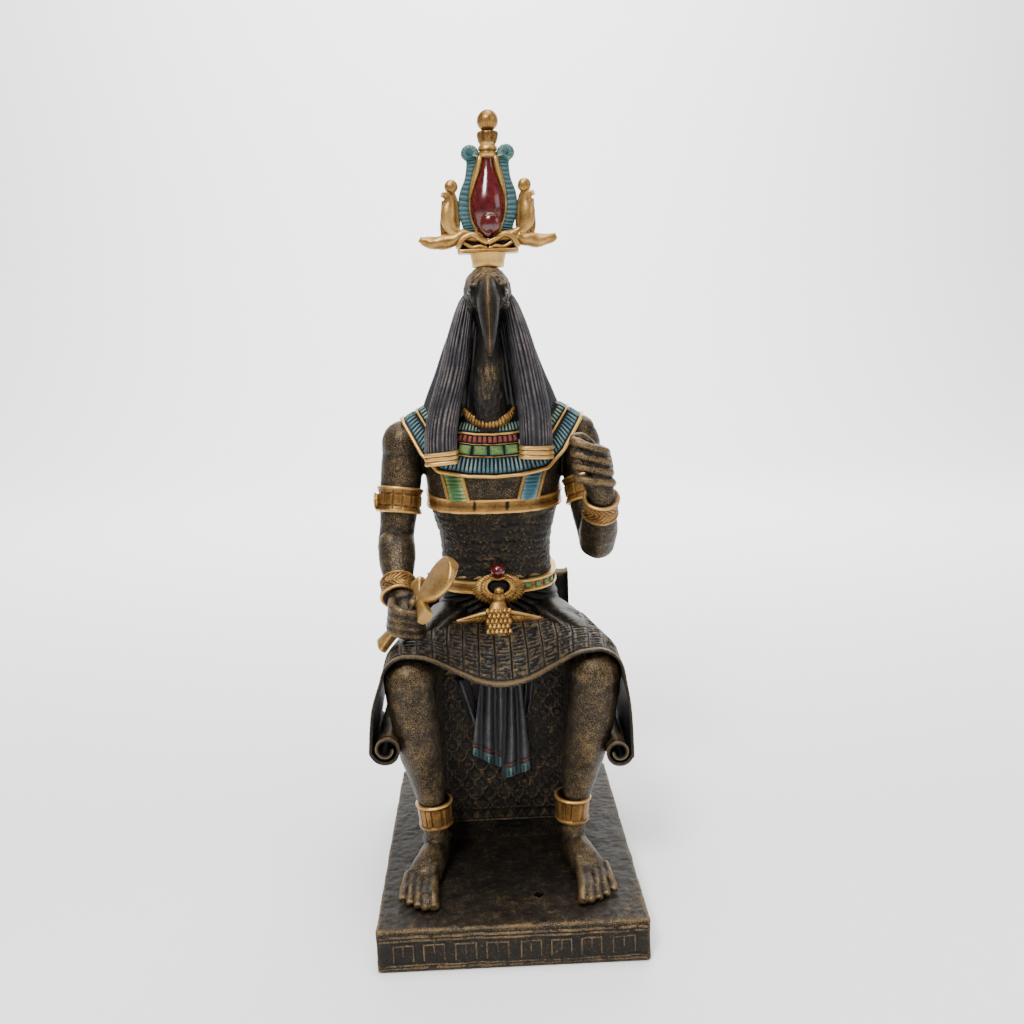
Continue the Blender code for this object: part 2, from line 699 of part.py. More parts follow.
def sheet_line(y):
    """The top line of the papyrus across the lap at one depth, from roll to roll."""
    front = (SHEET_BACK - y) / (SHEET_BACK - SHEET_FRONT)
    top = mix(91.0, 87.2, front)
    middle = mix(87.8, 75.5, front ** 1.5)
    spread = mix(0.80, 1.0, min(1.0, front * 1.6))
    points = []
    for sign in (-1, 1):
        x, z, radius = ROLL[sign]
        outer = abs(x) + radius
        knee = abs(KNEE[sign][0]) * spread
        shoulder_x = knee + 9.6
        half = [(abs(x) + radius * math.cos(math.radians(a)), z + radius * math.sin(math.radians(a)))
                for a in range(-170, 1, 34)]
        half.append((mix(outer, shoulder_x + 1.0, 0.35), mix(z, top, 0.42)))
        half.append((shoulder_x + 0.6, mix(z, top, 0.72)))
        for a in range(15, 91, 25):
            half.append((knee + 9.8 * math.cos(math.radians(a)),
                         top - 9.8 + 9.8 * math.sin(math.radians(a))))
        half.append((knee * 0.78, mix(top, middle, 0.10)))
        half.append((knee * 0.50, mix(top, middle, 0.52)))
        half.append((knee * 0.25, mix(top, middle, 0.88)))
        points.append([(sign * px, pz) for px, pz in half])
    left, right = points
    return left + [(0.0, middle)] + right[::-1]


def sheet_dip(x, y):
    """How far the sheet's front edge bellies out between the knees."""
    front = max(0.0, (SHEET_FRONT + 9.0 - y) / 9.0)
    return 2.2 * math.exp(-(x / 16.0) ** 2) * front


def papyrus():
    """The written sheet over the lap, with rolled ends that hang beside the knees."""
    mesh = bmesh.new()
    rows = []
    for i in range(SHEET_STATIONS):
        y = mix(SHEET_FRONT, SHEET_BACK, i / (SHEET_STATIONS - 1))
        rows.append([mesh.verts.new(at(x, y - sheet_dip(x, y), z)) for x, z in sheet_line(y)])
    for near, far in zip(rows, rows[1:]):
        for i in range(len(near) - 1):
            mesh.faces.new((near[i], near[i + 1], far[i + 1], far[i]))
    skin = from_bmesh("sheet", mesh)
    wall = skin.modifiers.new("wall", "SOLIDIFY")
    wall.thickness = SHEET_THICK * UNIT
    wall.offset = -1.0
    wall.use_even_offset = True
    shapes = [baked(skin)]
    for sign in (-1, 1):
        x, z, radius = ROLL[sign]
        core = [at(x, y, z) for y in (SHEET_FRONT + 0.5, SHEET_BACK - 0.5)]
        shapes.append(tube("roll_core", core, radius * 0.92 * UNIT, resolution=3))
    line = [at(x, SHEET_FRONT - sheet_dip(x, SHEET_FRONT), z - 0.6)
            for x, z in sheet_line(SHEET_FRONT)[5:-5]]
    shapes.append(tube("front_rim", line, 1.2 * UNIT, resolution=1))
    return shapes


def sash():
    """Three hanging folds under the papyrus, against the throne's front."""
    folds = [
        (-17.5, -11.0, 62.0, 52.0, 2.2),
        (-10.5, -8.0, 72.0, 38.0, 3.0),
        (-2.5, -3.0, 72.0, 36.0, 2.6),
        (4.5, 5.0, 72.0, 29.0, 3.2)]
    widths = (4.0, 5.2, 3.2, 6.4)
    shapes = []
    for (x_top, x_low, z_top, z_low, deep), wide in zip(folds, widths):
        shapes.append(limb("fold", [
            (x_top, THRONE_FRONT - 1.0, z_top + 6.0, wide * 0.6, deep),
            (mix(x_top, x_low, 0.5), THRONE_FRONT - 2.4, mix(z_top, z_low, 0.5), wide * 0.85, deep),
            (x_low, THRONE_FRONT - 2.2, z_low, wide, deep * 0.8)],
            sides=10, power=2.6, domed=False))
    return shapes


COLLAR_EDGE = ((-36.4, 168.4), (-29.0, 155.6), (-22.6, 149.0), (-11.0, 147.0), (0.0, 146.4),
               (10.0, 147.0), (20.8, 149.0), (27.6, 155.6), (35.6, 168.0))
COLLAR_NECK = (24.5, 11.5, 14.0, 181.0)    # middle, half width, half depth, height of its neck line
CRESCENT = ((-11.8, 11.5, 174.4), (-9.8, 8.4, 171.4), (-6.2, 6.2, 169.3), (-1.8, 5.4, 168.5),
            (2.6, 6.0, 169.0), (6.2, 8.0, 170.8), (8.4, 11.0, 173.4))
CRESCENT_THICK = (1.3, 1.9, 2.2, 2.3, 2.2, 1.9, 1.3)
COLLAR_MIDDLE = 27.5               # depth of the line over the shoulders
COLLAR_FALL = 21.2                 # how far the rim stands before and behind the shoulders
COLLAR_SWELL = 1.6                 # how far the cape swells over the flesh


def collar_outline():
    """The collar's rim: the chest line, over one shoulder, the same behind, and back."""
    sides = []
    for sign in (-1, 1):
        sides.append([(x, COLLAR_MIDDLE + sign * COLLAR_FALL * (1.0 - (abs(x) / 41.0) ** 3.2), z)
                      for x, z in COLLAR_EDGE])
    front, back = sides
    tops = [[(x * 1.02, COLLAR_MIDDLE + y, z + 1.0) for y in (-3.0, 3.0)]
            for x, z in (COLLAR_EDGE[-1], COLLAR_EDGE[0])]
    return front + tops[0] + back[::-1] + tops[1][::-1]


def collar():
    """The broad collar: a cape from its raised rim up to the neck, and a crescent on top."""
    outline = collar_outline()
    shapes = [tube("collar_rim", [at(*p) for p in outline], 1.2 * UNIT, resolution=1, cyclic=True)]
    neck_middle, wide, deep, height = COLLAR_NECK
    rings = []
    for share in (0.0, 0.35, 0.7, 1.0):
        swell = COLLAR_SWELL * math.sin(math.pi * share)
        points = []
        for x, y, z in outline:
            angle = math.atan2((y - COLLAR_MIDDLE) / COLLAR_FALL, x / COLLAR_EDGE[-1][0])
            c, s = math.cos(angle), math.sin(angle)
            points.append(at(mix(x, wide * c, share) + swell * c * 0.5,
                             mix(y, neck_middle + deep * s, share) + swell * s,
                             mix(z, height, share) + swell * 0.5))
        rings.append(points)
    shapes.append(loft("collar_cape", rings))
    shapes.append(tube("crescent", [at(*p) for p in CRESCENT], [r * UNIT for r in CRESCENT_THICK]))
    return shapes


def cuffs():
    """Armlets, bracelets and anklets."""
    shapes = []
    for sign in (-1, 1):
        shoulder, elbow, wrist = SHOULDER[sign], ELBOW[sign], WRIST[sign]
        place = [mix(shoulder[k], elbow[k], 0.58 if sign < 0 else 0.44) for k in range(3)]
        along = Vector(elbow) - Vector(shoulder)
        shapes.append(cuff("armlet", at(*place), along, 8.1 * UNIT, 8.9 * UNIT, 10.5 * UNIT,
                           1.5 * UNIT))
        place = [mix(elbow[k], wrist[k], 1.05 if sign < 0 else 0.82) for k in range(3)]
        along = Vector(wrist) - Vector(elbow)
        long = 8.5 if sign < 0 else 9.5
        shapes.append(cuff("bracelet", at(*place), along, 6.1 * UNIT, 5.9 * UNIT, long * UNIT,
                           1.2 * UNIT))
        ankle = ANKLE[sign]
        shapes.append(cuff("anklet", at(ankle[0] + 0.1 * sign, ankle[1] + 0.2, 20.8),
                           (-0.06 * sign, 0, -1), 5.9 * UNIT, 6.4 * UNIT, 9.8 * UNIT,
                           1.1 * UNIT, flare=0.92))
    return shapes


# Bands round the body: height, width, thickness, half width, half depth and middle of the body,
# and how much higher the band sits behind than in front
CHEST_BAND = (137.0, 5.6, 1.1, 27.2, 19.2, 28.5, 2.2)
BELT = (103.0, 5.0, 1.2, 24.2, 17.3, 31.6, 2.6)
BAND_SIDES = 28
STRAPS = (-16.2, 14.3)             # middles of the two chest straps
STRAP_HALVES = (4.6, 1.5, 6.5)


def dress():
    """Chest band, belt and the two chest straps."""
    shapes = []
    for height, tall, thick, wide, deep, middle, rise in (CHEST_BAND, BELT):
        rings = []
        for lift, grow in ((-0.5, 0.0), (-0.4, 1.0), (0.4, 1.0), (0.5, 0.0)):
            stand = thick * grow - 0.3
            points = []
            for i in range(BAND_SIDES):
                angle = TAU * i / BAND_SIDES
                c, s = math.cos(angle), math.sin(angle)
                points.append(at(-0.6 + math.copysign(abs(c) ** 0.8, c) * (wide + stand),
                                 middle + math.copysign(abs(s) ** 0.8, s) * (deep + stand),
                                 height + lift * tall + rise * s))
            rings.append(points)
        shapes.append(loft("band_round_body", rings))
    for x in STRAPS:
        shapes.append(tilted_block("strap", at(x, 11.0, 143.0), ((1, 0, 0), (0, 1, 0), (0, 0, 1)),
                                   [h * UNIT for h in STRAP_HALVES]))
    return shapes


def buckle():
    """The winged beetle with its ball, and the vulture that hangs below it."""
    shapes = [ball("sun_ball", at(-0.4, 11.0, 108.0), [v * UNIT for v in (3.1, 3.1, 3.1)], rows=8,
                   segments=12),
              ball("beetle", at(-0.2, 11.8, 99.5), [v * UNIT for v in (3.0, 3.0, 5.0)], rows=8,
                   segments=12)]
    for sign in (-1, 1):
        wing = []
        for k in range(8):
            angle = math.radians(-75 + 24 * k)
            wing.append(at(-0.2 + sign * (2.0 + 6.4 * math.cos(angle)), 11.6,
                           99.5 + 6.4 * math.sin(angle)))
        shapes.append(tube("beetle_wing", wing, [s * UNIT for s in
                           (2.4, 2.7, 2.7, 2.6, 2.3, 1.9, 1.5, 1.0)], resolution=1))
        shapes.append(limb("vulture_wing", [
            (0.0, 7.0, 92.0, 2.6, 2.2),
            (8.0 * sign, 7.6, 89.4, 2.4, 1.7),
            (18.0 * sign, 7.0, 87.4, 1.2, 1.3)], side=(0, 0, 1), sides=8))
    shapes.append(limb("vulture", [
        (-0.2, 9.0, 95.5, 3.2, 2.4),
        (-0.2, 5.0, 89.0, 5.2, 3.0),
        (-0.4, 0.5, 84.6, 4.2, 2.4)], sides=12))
    return shapes


def ankh_axes():
    """The ankh's own directions: along the shaft, across the arms and out of its flat."""
    along = Vector((0.626, -0.27, 0.73)).normalized()
    across = Vector((0.164, -0.87, -0.46))
    across = (across - along * across.dot(along)).normalized()
    return along, across, along.cross(across)


def ankh_shapes(grow):
    """The cross with a filled loop. Grow thickens it, for the channel through the fist."""
    along, across, out = ankh_axes()
    grip = at(*ANKH_GRIP)
    half = ANKH_THICKNESS / 2 + grow

    def spot(length, width=0.0):
        return grip + along * (length * ANKH_UNIT) + across * (width * ANKH_UNIT)

    shapes = []
    rings = []
    for length, wide in ((-16.0 - grow / ANKH_UNIT, 3.5), (-10.0, 2.5), (2.0, 2.1), (9.5, 2.1)):
        rings.append(ring(spot(length), across, out, wide * ANKH_UNIT + grow, half, 8, 3.0))
    shapes.append(loft("shaft", rings))
    rings = []
    for width, tall in ((-10.0, 3.2), (-4.0, 2.0), (0.0, 1.9), (4.0, 2.0), (10.0, 3.2)):
        end = math.copysign(grow / ANKH_UNIT, width) if abs(width) > 5 else 0.0
        rings.append(ring(spot(10.5, width + end), along, out, tall * ANKH_UNIT + grow, half, 8, 3.0))
    shapes.append(loft("arms", rings))
    rings = []
    for length, wide in ((10.0, 2.0), (13.0, 4.2), (17.5, 7.0), (22.5, 8.3), (27.0, 7.3),
                         (30.0, 4.4), (31.0, 1.6)):
        rings.append(ring(spot(length), across, out, wide * ANKH_UNIT + grow, half * 1.1, 12, 2.4))
    shapes.append(loft("loop", rings))
    return shapes


def ankh():
    first, *rest = ankh_shapes(0.0)
    return cut_or_join(first, rest, "UNION")


# Crown, in its units: x to the right, y away from the viewer, z up from its underside
CROWN_PLACE = (0.0, 15.0)


def crown_at(x, y, z):
    base = at(CROWN_PLACE[0], CROWN_PLACE[1], SEATED_UNITS)
    return base + Vector((x, y, z)) * CROWN_UNIT + Vector((0, 0, CLEARANCE))


def crown_limb(name, stations, **how):
    return limb(name, stations, place=crown_at, unit=CROWN_UNIT, **how)


def feather_outline(sign):
    """A tall plume whose tip curls outwards."""
    points = [(1.5, 14.0), (9.2, 14.2), (11.4, 18.0), (11.6, 22.5), (10.9, 29.0), (8.6, 34.5),
              (8.2, 38.0)]
    for k in range(7):
        angle = math.radians(-50 + 40 * k)
        points.append((7.45 + 3.6 * math.cos(angle), 42.4 + 3.6 * math.sin(angle)))
    points += [(4.0, 39.0), (4.4, 35.0), (3.0, 30.0), (1.5, 24.0)]
    return [(x * sign * CROWN_UNIT, z * CROWN_UNIT) for x, z in points]


def crown():
    unit = CROWN_UNIT
    origin = crown_at(0, 0, 0)
    body = turned("modius", [(7.6 * unit, 5.6 * unit), (7.4 * unit, 4.4 * unit),
                             (6.9 * unit, 2.4 * unit), (6.9 * unit, 0.0)], origin, 18)
    shapes = [block("plate", crown_at(-11.4, -5.0, 4.6), crown_at(11.4, 5.0, 7.4), 0.7 * unit)]
    for sign in (-1, 1):
        shapes.append(crown_limb("horn", [
            (2.0 * sign, 0.0, 11.0, 2.4, 2.4),
            (9.0 * sign, 0.0, 12.2, 2.8, 2.6),
            (14.0 * sign, 0.0, 10.8, 3.0, 2.6),
            (19.0 * sign, 0.0, 9.8, 2.8, 2.4),
            (24.0 * sign, 0.0, 10.4, 2.0, 1.9),
            (26.8 * sign, 0.0, 11.4, 1.2, 1.2)], side=(0, 0, 1), sides=10))
        arch = []
        for k in range(9):
            x = sign * mix(-0.6, 13.0, k / 8)
            arch.append(crown_at(x, -3.0, 5.4 + 7.2 * math.sin(math.pi * mix(0.12, 0.97, k / 8))))
        shapes.append(tube("strand", arch, 1.5 * unit, resolution=1))
        shapes.append(slab("plume", feather_outline(sign), origin, (1, 0, 0), (0, 0, 1), 3.0 * unit))
        snake = [crown_at(x * sign, y, z) for x, y, z in
                 ((11.0, -0.8, 11.5), (14.2, -1.4, 14.0), (15.6, -1.6, 17.5), (16.0, -1.8, 21.5),
                  (15.4, -1.8, 25.0), (14.8, -2.6, 28.0), (14.4, -4.4, 29.4))]
        shapes.append(tube("snake", snake, [s * unit for s in (2.0, 2.6, 3.4, 3.3, 2.4, 1.7, 1.0)],
                           resolution=2))
        shapes.append(ball("snake_disc", crown_at(14.6 * sign, -0.6, 30.9),
                           [v * unit for v in (2.6, 1.7, 2.6)], segments=10, rows=8))
    shapes.append(block("plume_root", crown_at(-9.4, -1.9, 11.0), crown_at(9.4, 1.9, 20.0), 0.5 * unit))
    shapes.append(turned("bulb", [(v[0] * unit, v[1] * unit) for v in
                                  ((2.6, 43.5), (2.4, 41.0), (3.2, 37.0), (4.8, 32.0), (6.4, 25.0),
                                   (6.6, 20.0), (5.2, 14.0), (3.0, 10.0))], origin, 16))
    shapes.append(ball("bulb_disc", crown_at(1.0, -5.4, 16.4), [v * unit for v in (4.0, 3.0, 4.2)],
                       segments=14, rows=8))
    shapes.append(turned("finial", [(v[0] * unit, v[1] * unit) for v in
                                    ((3.6, 50.0), (3.4, 49.0), (2.6, 46.5), (3.8, 45.5), (3.8, 44.6),
                                     (3.2, 44.2), (3.6, 43.4), (3.6, 42.6), (2.4, 41.6))],
                         origin, 12))
    shapes.append(ball("top_ball", crown_at(0, 0, 55.0), [v * unit for v in (4.1, 4.1, 4.0)],
                       segments=16, rows=10))
    shapes.append(turned("ball_neck", [(1.7 * unit, 52.5 * unit), (1.9 * unit, 49.0 * unit)],
                         origin, 10))
    whole = thinned(cut_or_join(body, shapes, "UNION"), CROWN_SHARE)
    lean = Matrix.Identity(4)
    lean[0][2] = CROWN_LEAN
    lean[0][3] = -CROWN_LEAN * origin.z
    whole.data.transform(lean)
    return whole


STAFF_OFFSET = (-1.6, -1.4)        # from the fist's middle to the lost staff
STAFF_WAY = (0.16, 0.03, 1.0)
STAFF_REACH = 16.0


def staff_channel():
    """The empty channel through the raised fist, in line with the socket in the plinth."""
    x, y, z = FIST[1]
    grip = at(x + STAFF_OFFSET[0], y + STAFF_OFFSET[1], z)
    along = Vector(STAFF_WAY).normalized() * (STAFF_REACH * UNIT)
    return tube("channel", [grip - along, grip + along], SOCKET_DIAMETER / 2)


def statue():
    body, cuts = plinth()
    tools = [figure(), lappet(-1), lappet(1), lappet_band(-1), lappet_band(1)]
    tools += foot_toes(-1) + foot_toes(1) + resting_fingers() + raised_fingers()
    tools += throne() + frieze() + papyrus() + sash() + collar() + cuffs() + dress() + buckle()
    body = cut_or_join(body, cuts, "DIFFERENCE")
    body = thinned(cut_or_join(body, tools, "UNION"), STATUE_SHARE)
    half = 30.0 * UNIT
    flat = at(CROWN_PLACE[0], CROWN_PLACE[1], SEATED_UNITS)
    cuts = [block("head_flat", flat - Vector((half, half, 0)), flat + Vector((half, half, half)))]
    cuts += [staff_channel()] + ankh_shapes(CLEARANCE)
    return cut_or_join(body, cuts, "DIFFERENCE")


bronze = material("aged_bronze_resin", (0.055, 0.045, 0.032), 0.48, 0.55)
gold = material("antique_gold_paint", (0.45, 0.31, 0.12), 0.42, 0.75)
finished("statue", statue(), bronze)
finished("crown", crown(), gold)
finished("ankh", ankh(), gold)
for group in (SHAPES, CUTTERS):
    for item in list(group.objects):
        bpy.data.objects.remove(item, do_unlink=True)
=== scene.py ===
"""Looks of the seated ibis-headed figurine: cast resin, painted as old bronze and gilt.

All pieces are drawn in millimetres of the real object, x to the viewer's right, y away from the
viewer and z up from the top of the plinth, and are turned to metres when their mesh is made.
"""
import logging
import math
from collections.abc import Callable, Sequence
from dataclasses import dataclass, field
from enum import Enum

import bpy
import numpy as np
from mathutils import Matrix, Vector


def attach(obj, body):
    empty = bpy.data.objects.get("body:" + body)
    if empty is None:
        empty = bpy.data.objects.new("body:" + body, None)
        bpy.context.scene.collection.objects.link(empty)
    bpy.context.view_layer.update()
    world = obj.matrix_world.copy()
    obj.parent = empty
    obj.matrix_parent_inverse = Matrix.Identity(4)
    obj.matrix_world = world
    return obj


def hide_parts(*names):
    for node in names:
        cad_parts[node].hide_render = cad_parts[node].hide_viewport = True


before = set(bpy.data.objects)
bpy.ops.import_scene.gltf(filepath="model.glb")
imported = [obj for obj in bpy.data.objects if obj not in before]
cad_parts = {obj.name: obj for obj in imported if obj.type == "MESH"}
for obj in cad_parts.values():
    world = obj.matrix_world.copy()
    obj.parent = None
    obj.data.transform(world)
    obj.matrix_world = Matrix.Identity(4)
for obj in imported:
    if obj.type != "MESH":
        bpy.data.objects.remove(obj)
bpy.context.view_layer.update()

LOG = logging.getLogger("figurine")
Array = np.ndarray
Row = Sequence[float]
Rows = Sequence[Row]
Relief = Callable[[Array, Array], Array]
Surface = Callable[[Array, Array, Array], Array]
Tree = bpy.types.NodeTree
Socket = bpy.types.NodeSocket

MM = 0.001
PLINTH_TOP = 16.0                  # thickness of the plinth, in mm
BODY = "root"


class Slot(Enum):
    """The record's two materials."""

    BRONZE = "aged_bronze_resin"
    GOLD = "antique_gold_paint"


class Side(Enum):
    """The figure's sides as the viewer sees them."""

    LEFT = -1
    RIGHT = 1


class Cut(Enum):
    """Patterns cut into the cuffs."""

    FLUTES = "upright staves"
    FEATHERS = "slanting barbs"
    PANEL = "framed panels"


class Part(Enum):
    """Parts of the collar that can carry a row."""

    WHOLE = "all of it"
    CHEST = "between the front locks"
    SHOULDERS = "outside them"


# Shaping


def mix(a: float, b: float, share: float | Array) -> float | Array:
    """Returns the value that lies a share of the way from a to b."""
    return a + (b - a) * share


def step(low: float, high: float, value: Array) -> Array:
    """Returns a smooth rise from 0 at low to 1 at high."""
    t = np.clip((value - low) / (high - low), 0.0, 1.0)
    return t * t * (3.0 - 2.0 * t)


def unit(vector: Array) -> Array:
    """Returns the vectors at length one."""
    return vector / np.maximum(np.linalg.norm(vector, axis=-1, keepdims=True), 1e-9)


def hashed(cells: Array, seed: int) -> Array:
    """Gives each whole-numbered cell its own number.

    Args:
        cells: whole numbers, with the axes last.
        seed: changes all the numbers.
    Returns:
        One number from 0 to 1 for each cell.
    """
    key = np.full(cells.shape[:-1], seed * 7919 + 17, dtype=np.uint64)
    for axis, prime in zip(range(cells.shape[-1]), (73856093, 19349663, 83492791)):
        key ^= (cells[..., axis].astype(np.int64) + 100003).astype(np.uint64) * np.uint64(prime)
        key ^= key >> np.uint64(13)
        key *= np.uint64(0x5BD1E995)
        key &= np.uint64(0xFFFFFFFF)
    return (key % np.uint64(65521)).astype(float) / 65521.0


def noise(points: Array, size: float | Row, seed: int = 1) -> Array:
    """Soft lumps in space.

    Args:
        points: where to read them, in mm.
        size: the lumps' size in mm, or one for each axis.
        seed: another set of lumps.
    Returns:
        A height from -1 to 1 for each point.
    """
    p = points / np.asarray(size, float)
    low = np.floor(p)
    t = p - low
    t = t * t * (3.0 - 2.0 * t)
    total = np.zeros(p.shape[:-1])
    for corner in np.ndindex(2, 2, 2):
        weight = np.prod(np.where(np.array(corner, bool), t, 1.0 - t), axis=-1)
        total += weight * hashed(low + corner, seed)
    return total * 2.0 - 1.0


@dataclass
class Form:
    """A mesh in the making: points in mm, faces, each point's wear and each face's finish."""

    points: Array
    faces: list[tuple[int, ...]]
    wear: Array | None = None
    zones: Array | None = None

    def filled(self) -> "Form":
        """Gives wear and finish numbers where they are still unset.

        Returns:
            The form itself.
        """
        if self.wear is None:
            self.wear = np.full(len(self.points), 0.5)
        if self.zones is None:
            self.zones = np.zeros(len(self.faces), int)
        return self

    def blocks(self) -> list[Array]:
        """Returns the faces as arrays, one for each number of corners."""
        return [np.array([face for face in self.faces if len(face) == size])
                for size in {len(face) for face in self.faces}]

    def edges(self) -> tuple[Array, Array]:
        """Lists every side of every face.

        Returns:
            The numbers of the points at both ends of each side.
        """
        blocks = self.blocks()
        return (np.concatenate([block.ravel() for block in blocks]),
                np.concatenate([np.roll(block, -1, axis=1).ravel() for block in blocks]))

    def normals(self) -> Array:
        """Works out which way each point looks.

        Returns:
            Outward directions of length one.
        """
        total = np.zeros_like(self.points)
        for block in self.blocks():
            a, b, c = (self.points[block[:, k]] for k in (0, 1, 2))
            if block.shape[1] == 4:
                face = np.cross(c - a, self.points[block[:, 3]] - b)
            else:
                face = np.cross(b - a, c - a)
            for k, axis in np.ndindex(block.shape[1], 3):
                total[:, axis] += np.bincount(block[:, k], face[:, axis], len(total))
        return unit(total)

    def softened(self, values: Array, rounds: int) -> Array:
        """Averages values over neighbouring points.

        Args:
            values: one number or point for each point.
            rounds: how often to average.
        Returns:
            The averaged values.
        """
        starts, ends = self.edges()
        a, b = np.concatenate([starts, ends]), np.concatenate([ends, starts])
        count = np.maximum(np.bincount(a, minlength=len(self.points)), 1)
        flat = values.reshape(len(values), -1).astype(float)
        for _ in range(rounds):
            flat = np.stack([np.bincount(a, flat[b, k], len(flat)) / count
                             for k in range(flat.shape[1])], axis=1)
        return flat.reshape(values.shape)

    def pushed(self, heights: Array) -> "Form":
        """Moves each point outwards by its height in mm."""
        self.points = self.points + self.normals() * heights[:, None]
        return self

    def rubbed(self, rounds: int = 8, gain: float = 0.9) -> "Form":
        """Sets the wear from how far each point stands proud of what surrounds it.

        Args:
            rounds: how wide the surroundings are.
            gain: wear for each mm that a point stands proud.
        Returns:
            The form itself.
        """
        proud = np.sum((self.points - self.softened(self.points, rounds)) * self.normals(), axis=1)
        self.filled()
        self.wear = np.clip(0.5 + gain * self.softened(proud, 1), 0.0, 1.0)
        return self

    def brushed_and_lit(self, gain: float) -> "Form":
        """Adds wear where the surface looks up or towards the viewer: dry-brushed gilt, together with painted
        light from above and in front.
        """
        normals = self.normals()
        # Painted light: faces turned up and towards the viewer get lighter, as if lit from the front above,
        # on top of the dry brushing.
        return self.worn(gain * (0.6 * normals[:, 2] - 0.7 * normals[:, 1] - 0.2))

    def worn(self, change: float | Array) -> "Form":
        """Adds a change to the wear, which stays from 0 to 1."""
        self.wear = np.clip(self.wear + change, 0.0, 1.0)
        return self

    def toned(self, level: float) -> "Form":
        """Gives every point the same wear."""
        self.wear = np.full(len(self.points), level)
        return self


def together(forms: Sequence[Form]) -> Form:
    """Gathers several forms, as they are, in one.

    Args:
        forms: the forms.
    Returns:
        One form with all their points, faces, wear and finish numbers.
    """
    points, faces, wear, zones, start = [], [], [], [], 0
    for form in forms:
        form.filled()
        points.append(form.points)
        faces += [tuple(i + start for i in face) for face in form.faces]
        wear.append(form.wear)
        zones.append(form.zones)
        start += len(form.points)
    return Form(np.concatenate(points), faces, np.concatenate(wear), np.concatenate(zones))


def woven(rows: int, columns: int, wrap: bool) -> list[tuple[int, ...]]:
    """Lays four-sided faces between rows of points.

    Args:
        rows: how many rows.
        columns: how many points in a row.
        wrap: whether each row is closed round.
    Returns:
        The faces.
    """
    i, j = np.meshgrid(np.arange(rows - 1), np.arange(columns if wrap else columns - 1),
                       indexing="ij")
    k = (j + 1) % columns
    quads = np.stack([i * columns + j, i * columns + k, (i + 1) * columns + k,
                      (i + 1) * columns + j], axis=-1)
    return [tuple(q) for q in quads.reshape(-1, 4).tolist()]


def skinned(sections: Array, wear: Array | None = None) -> Form:
    """A closed skin over rings of points, with a fan at either end.

    Args:
        sections: rings, points and axes.
        wear: the wear at each of those points.
    Returns:
        The closed form.
    """
    rows, columns = sections.shape[:2]
    faces = woven(rows, columns, True)
    ends = [sections[0].mean(0), sections[-1].mean(0)]
    points = np.concatenate([sections.reshape(-1, 3), ends])
    first, last = rows * columns, rows * columns + 1
    for j in range(columns):
        k = (j + 1) % columns
        faces.append((first, k, j))
        faces.append((last, (rows - 1) * columns + j, (rows - 1) * columns + k))
    form = Form(points, faces)
    if wear is not None:
        form.wear = np.concatenate([wear.ravel(), [wear[0].mean(), wear[-1].mean()]])
    return facing_out(form)


def facing_out(form: Form) -> Form:
    """Turns the faces of a closed form so that they look outwards.

    Args:
        form: the form, which is changed.
    Returns:
        The form itself.
    """
    volume = 0.0
    for block in form.blocks():
        a = form.points[block[:, 0]]
        for k in range(1, block.shape[1] - 1):
            b, c = form.points[block[:, k]], form.points[block[:, k + 1]]
            volume += float(np.sum(a * np.cross(b, c)))
    if volume < 0.0:
        form.faces = [face[::-1] for face in form.faces]
    return form


def oval(sides: int, power: float = 2.0) -> Array:
    """Lays points round an oval of half sizes one.

    Args:
        sides: how many points.
        power: 2 for an ellipse, squarer as it rises.
    Returns:
        Pairs of numbers.
    """
    angle = np.linspace(0.0, math.tau, sides, endpoint=False)
    c, s = np.cos(angle), np.sin(angle)
    return np.stack([np.sign(c) * np.abs(c) ** (2.0 / power),
                     np.sign(s) * np.abs(s) ** (2.0 / power)], axis=1)


def eased(stations: Rows, count: int) -> Array:
    """Runs a smooth line through stations of any number of values.

    Args:
        stations: rows of numbers.
        count: how many rows to return.
    Returns:
        The rows along the line, with the ends as given.
    """
    p = np.asarray(stations, float)
    p = np.concatenate([[2 * p[0] - p[1]], p, [2 * p[-1] - p[-2]]])
    where = np.linspace(0.0, len(p) - 3 - 1e-9, count)
    i = where.astype(int)
    t = (where - i)[:, None]
    a, b, c, d = p[i], p[i + 1], p[i + 2], p[i + 3]
    return 0.5 * (2 * b + (c - a) * t + (2 * a - 5 * b + 4 * c - d) * t ** 2
                  + (3 * b - a - 3 * c + d) * t ** 3)


def limb(stations: Rows, side: Row = (1, 0, 0), sides: int = 28,
         power: float = 2.0, count: int = 0) -> Form:
    """A rounded limb with domed ends.

    Args:
        stations: rows of x, y, z, half width along side and half depth.
        side: the direction of the width.
        sides: points round it.
        power: squareness of its section.
        count: rings along it.
    Returns:
        The closed limb.
    """
    rows = eased(stations, count or 6 * len(stations))
    centre = rows[:, :3]
    along = unit(np.gradient(centre, axis=0))
    across = unit(np.asarray(side, float) - along * (along @ np.asarray(side, float))[:, None])
    up = np.cross(along, across)
    pairs = oval(sides, power)
    rings = []
    for i, row in enumerate(rows):
        lifts = [(0.0, 1.0)]
        if i in (0, len(rows) - 1):
            lifts = [(s, math.sqrt(1.0 - s * s)) for s in (0.0, 0.35, 0.65, 0.85, 0.97)]
        outward = -along[i] if i == 0 else along[i]
        made = [row[:3] + outward * (s * min(row[3], row[4]) * 0.8)
                + cut * (across[i] * row[3] * pairs[:, :1] + up[i] * row[4] * pairs[:, 1:])
                for s, cut in lifts]
        rings += made[::-1] if i == 0 else made
    return skinned(np.array(rings))


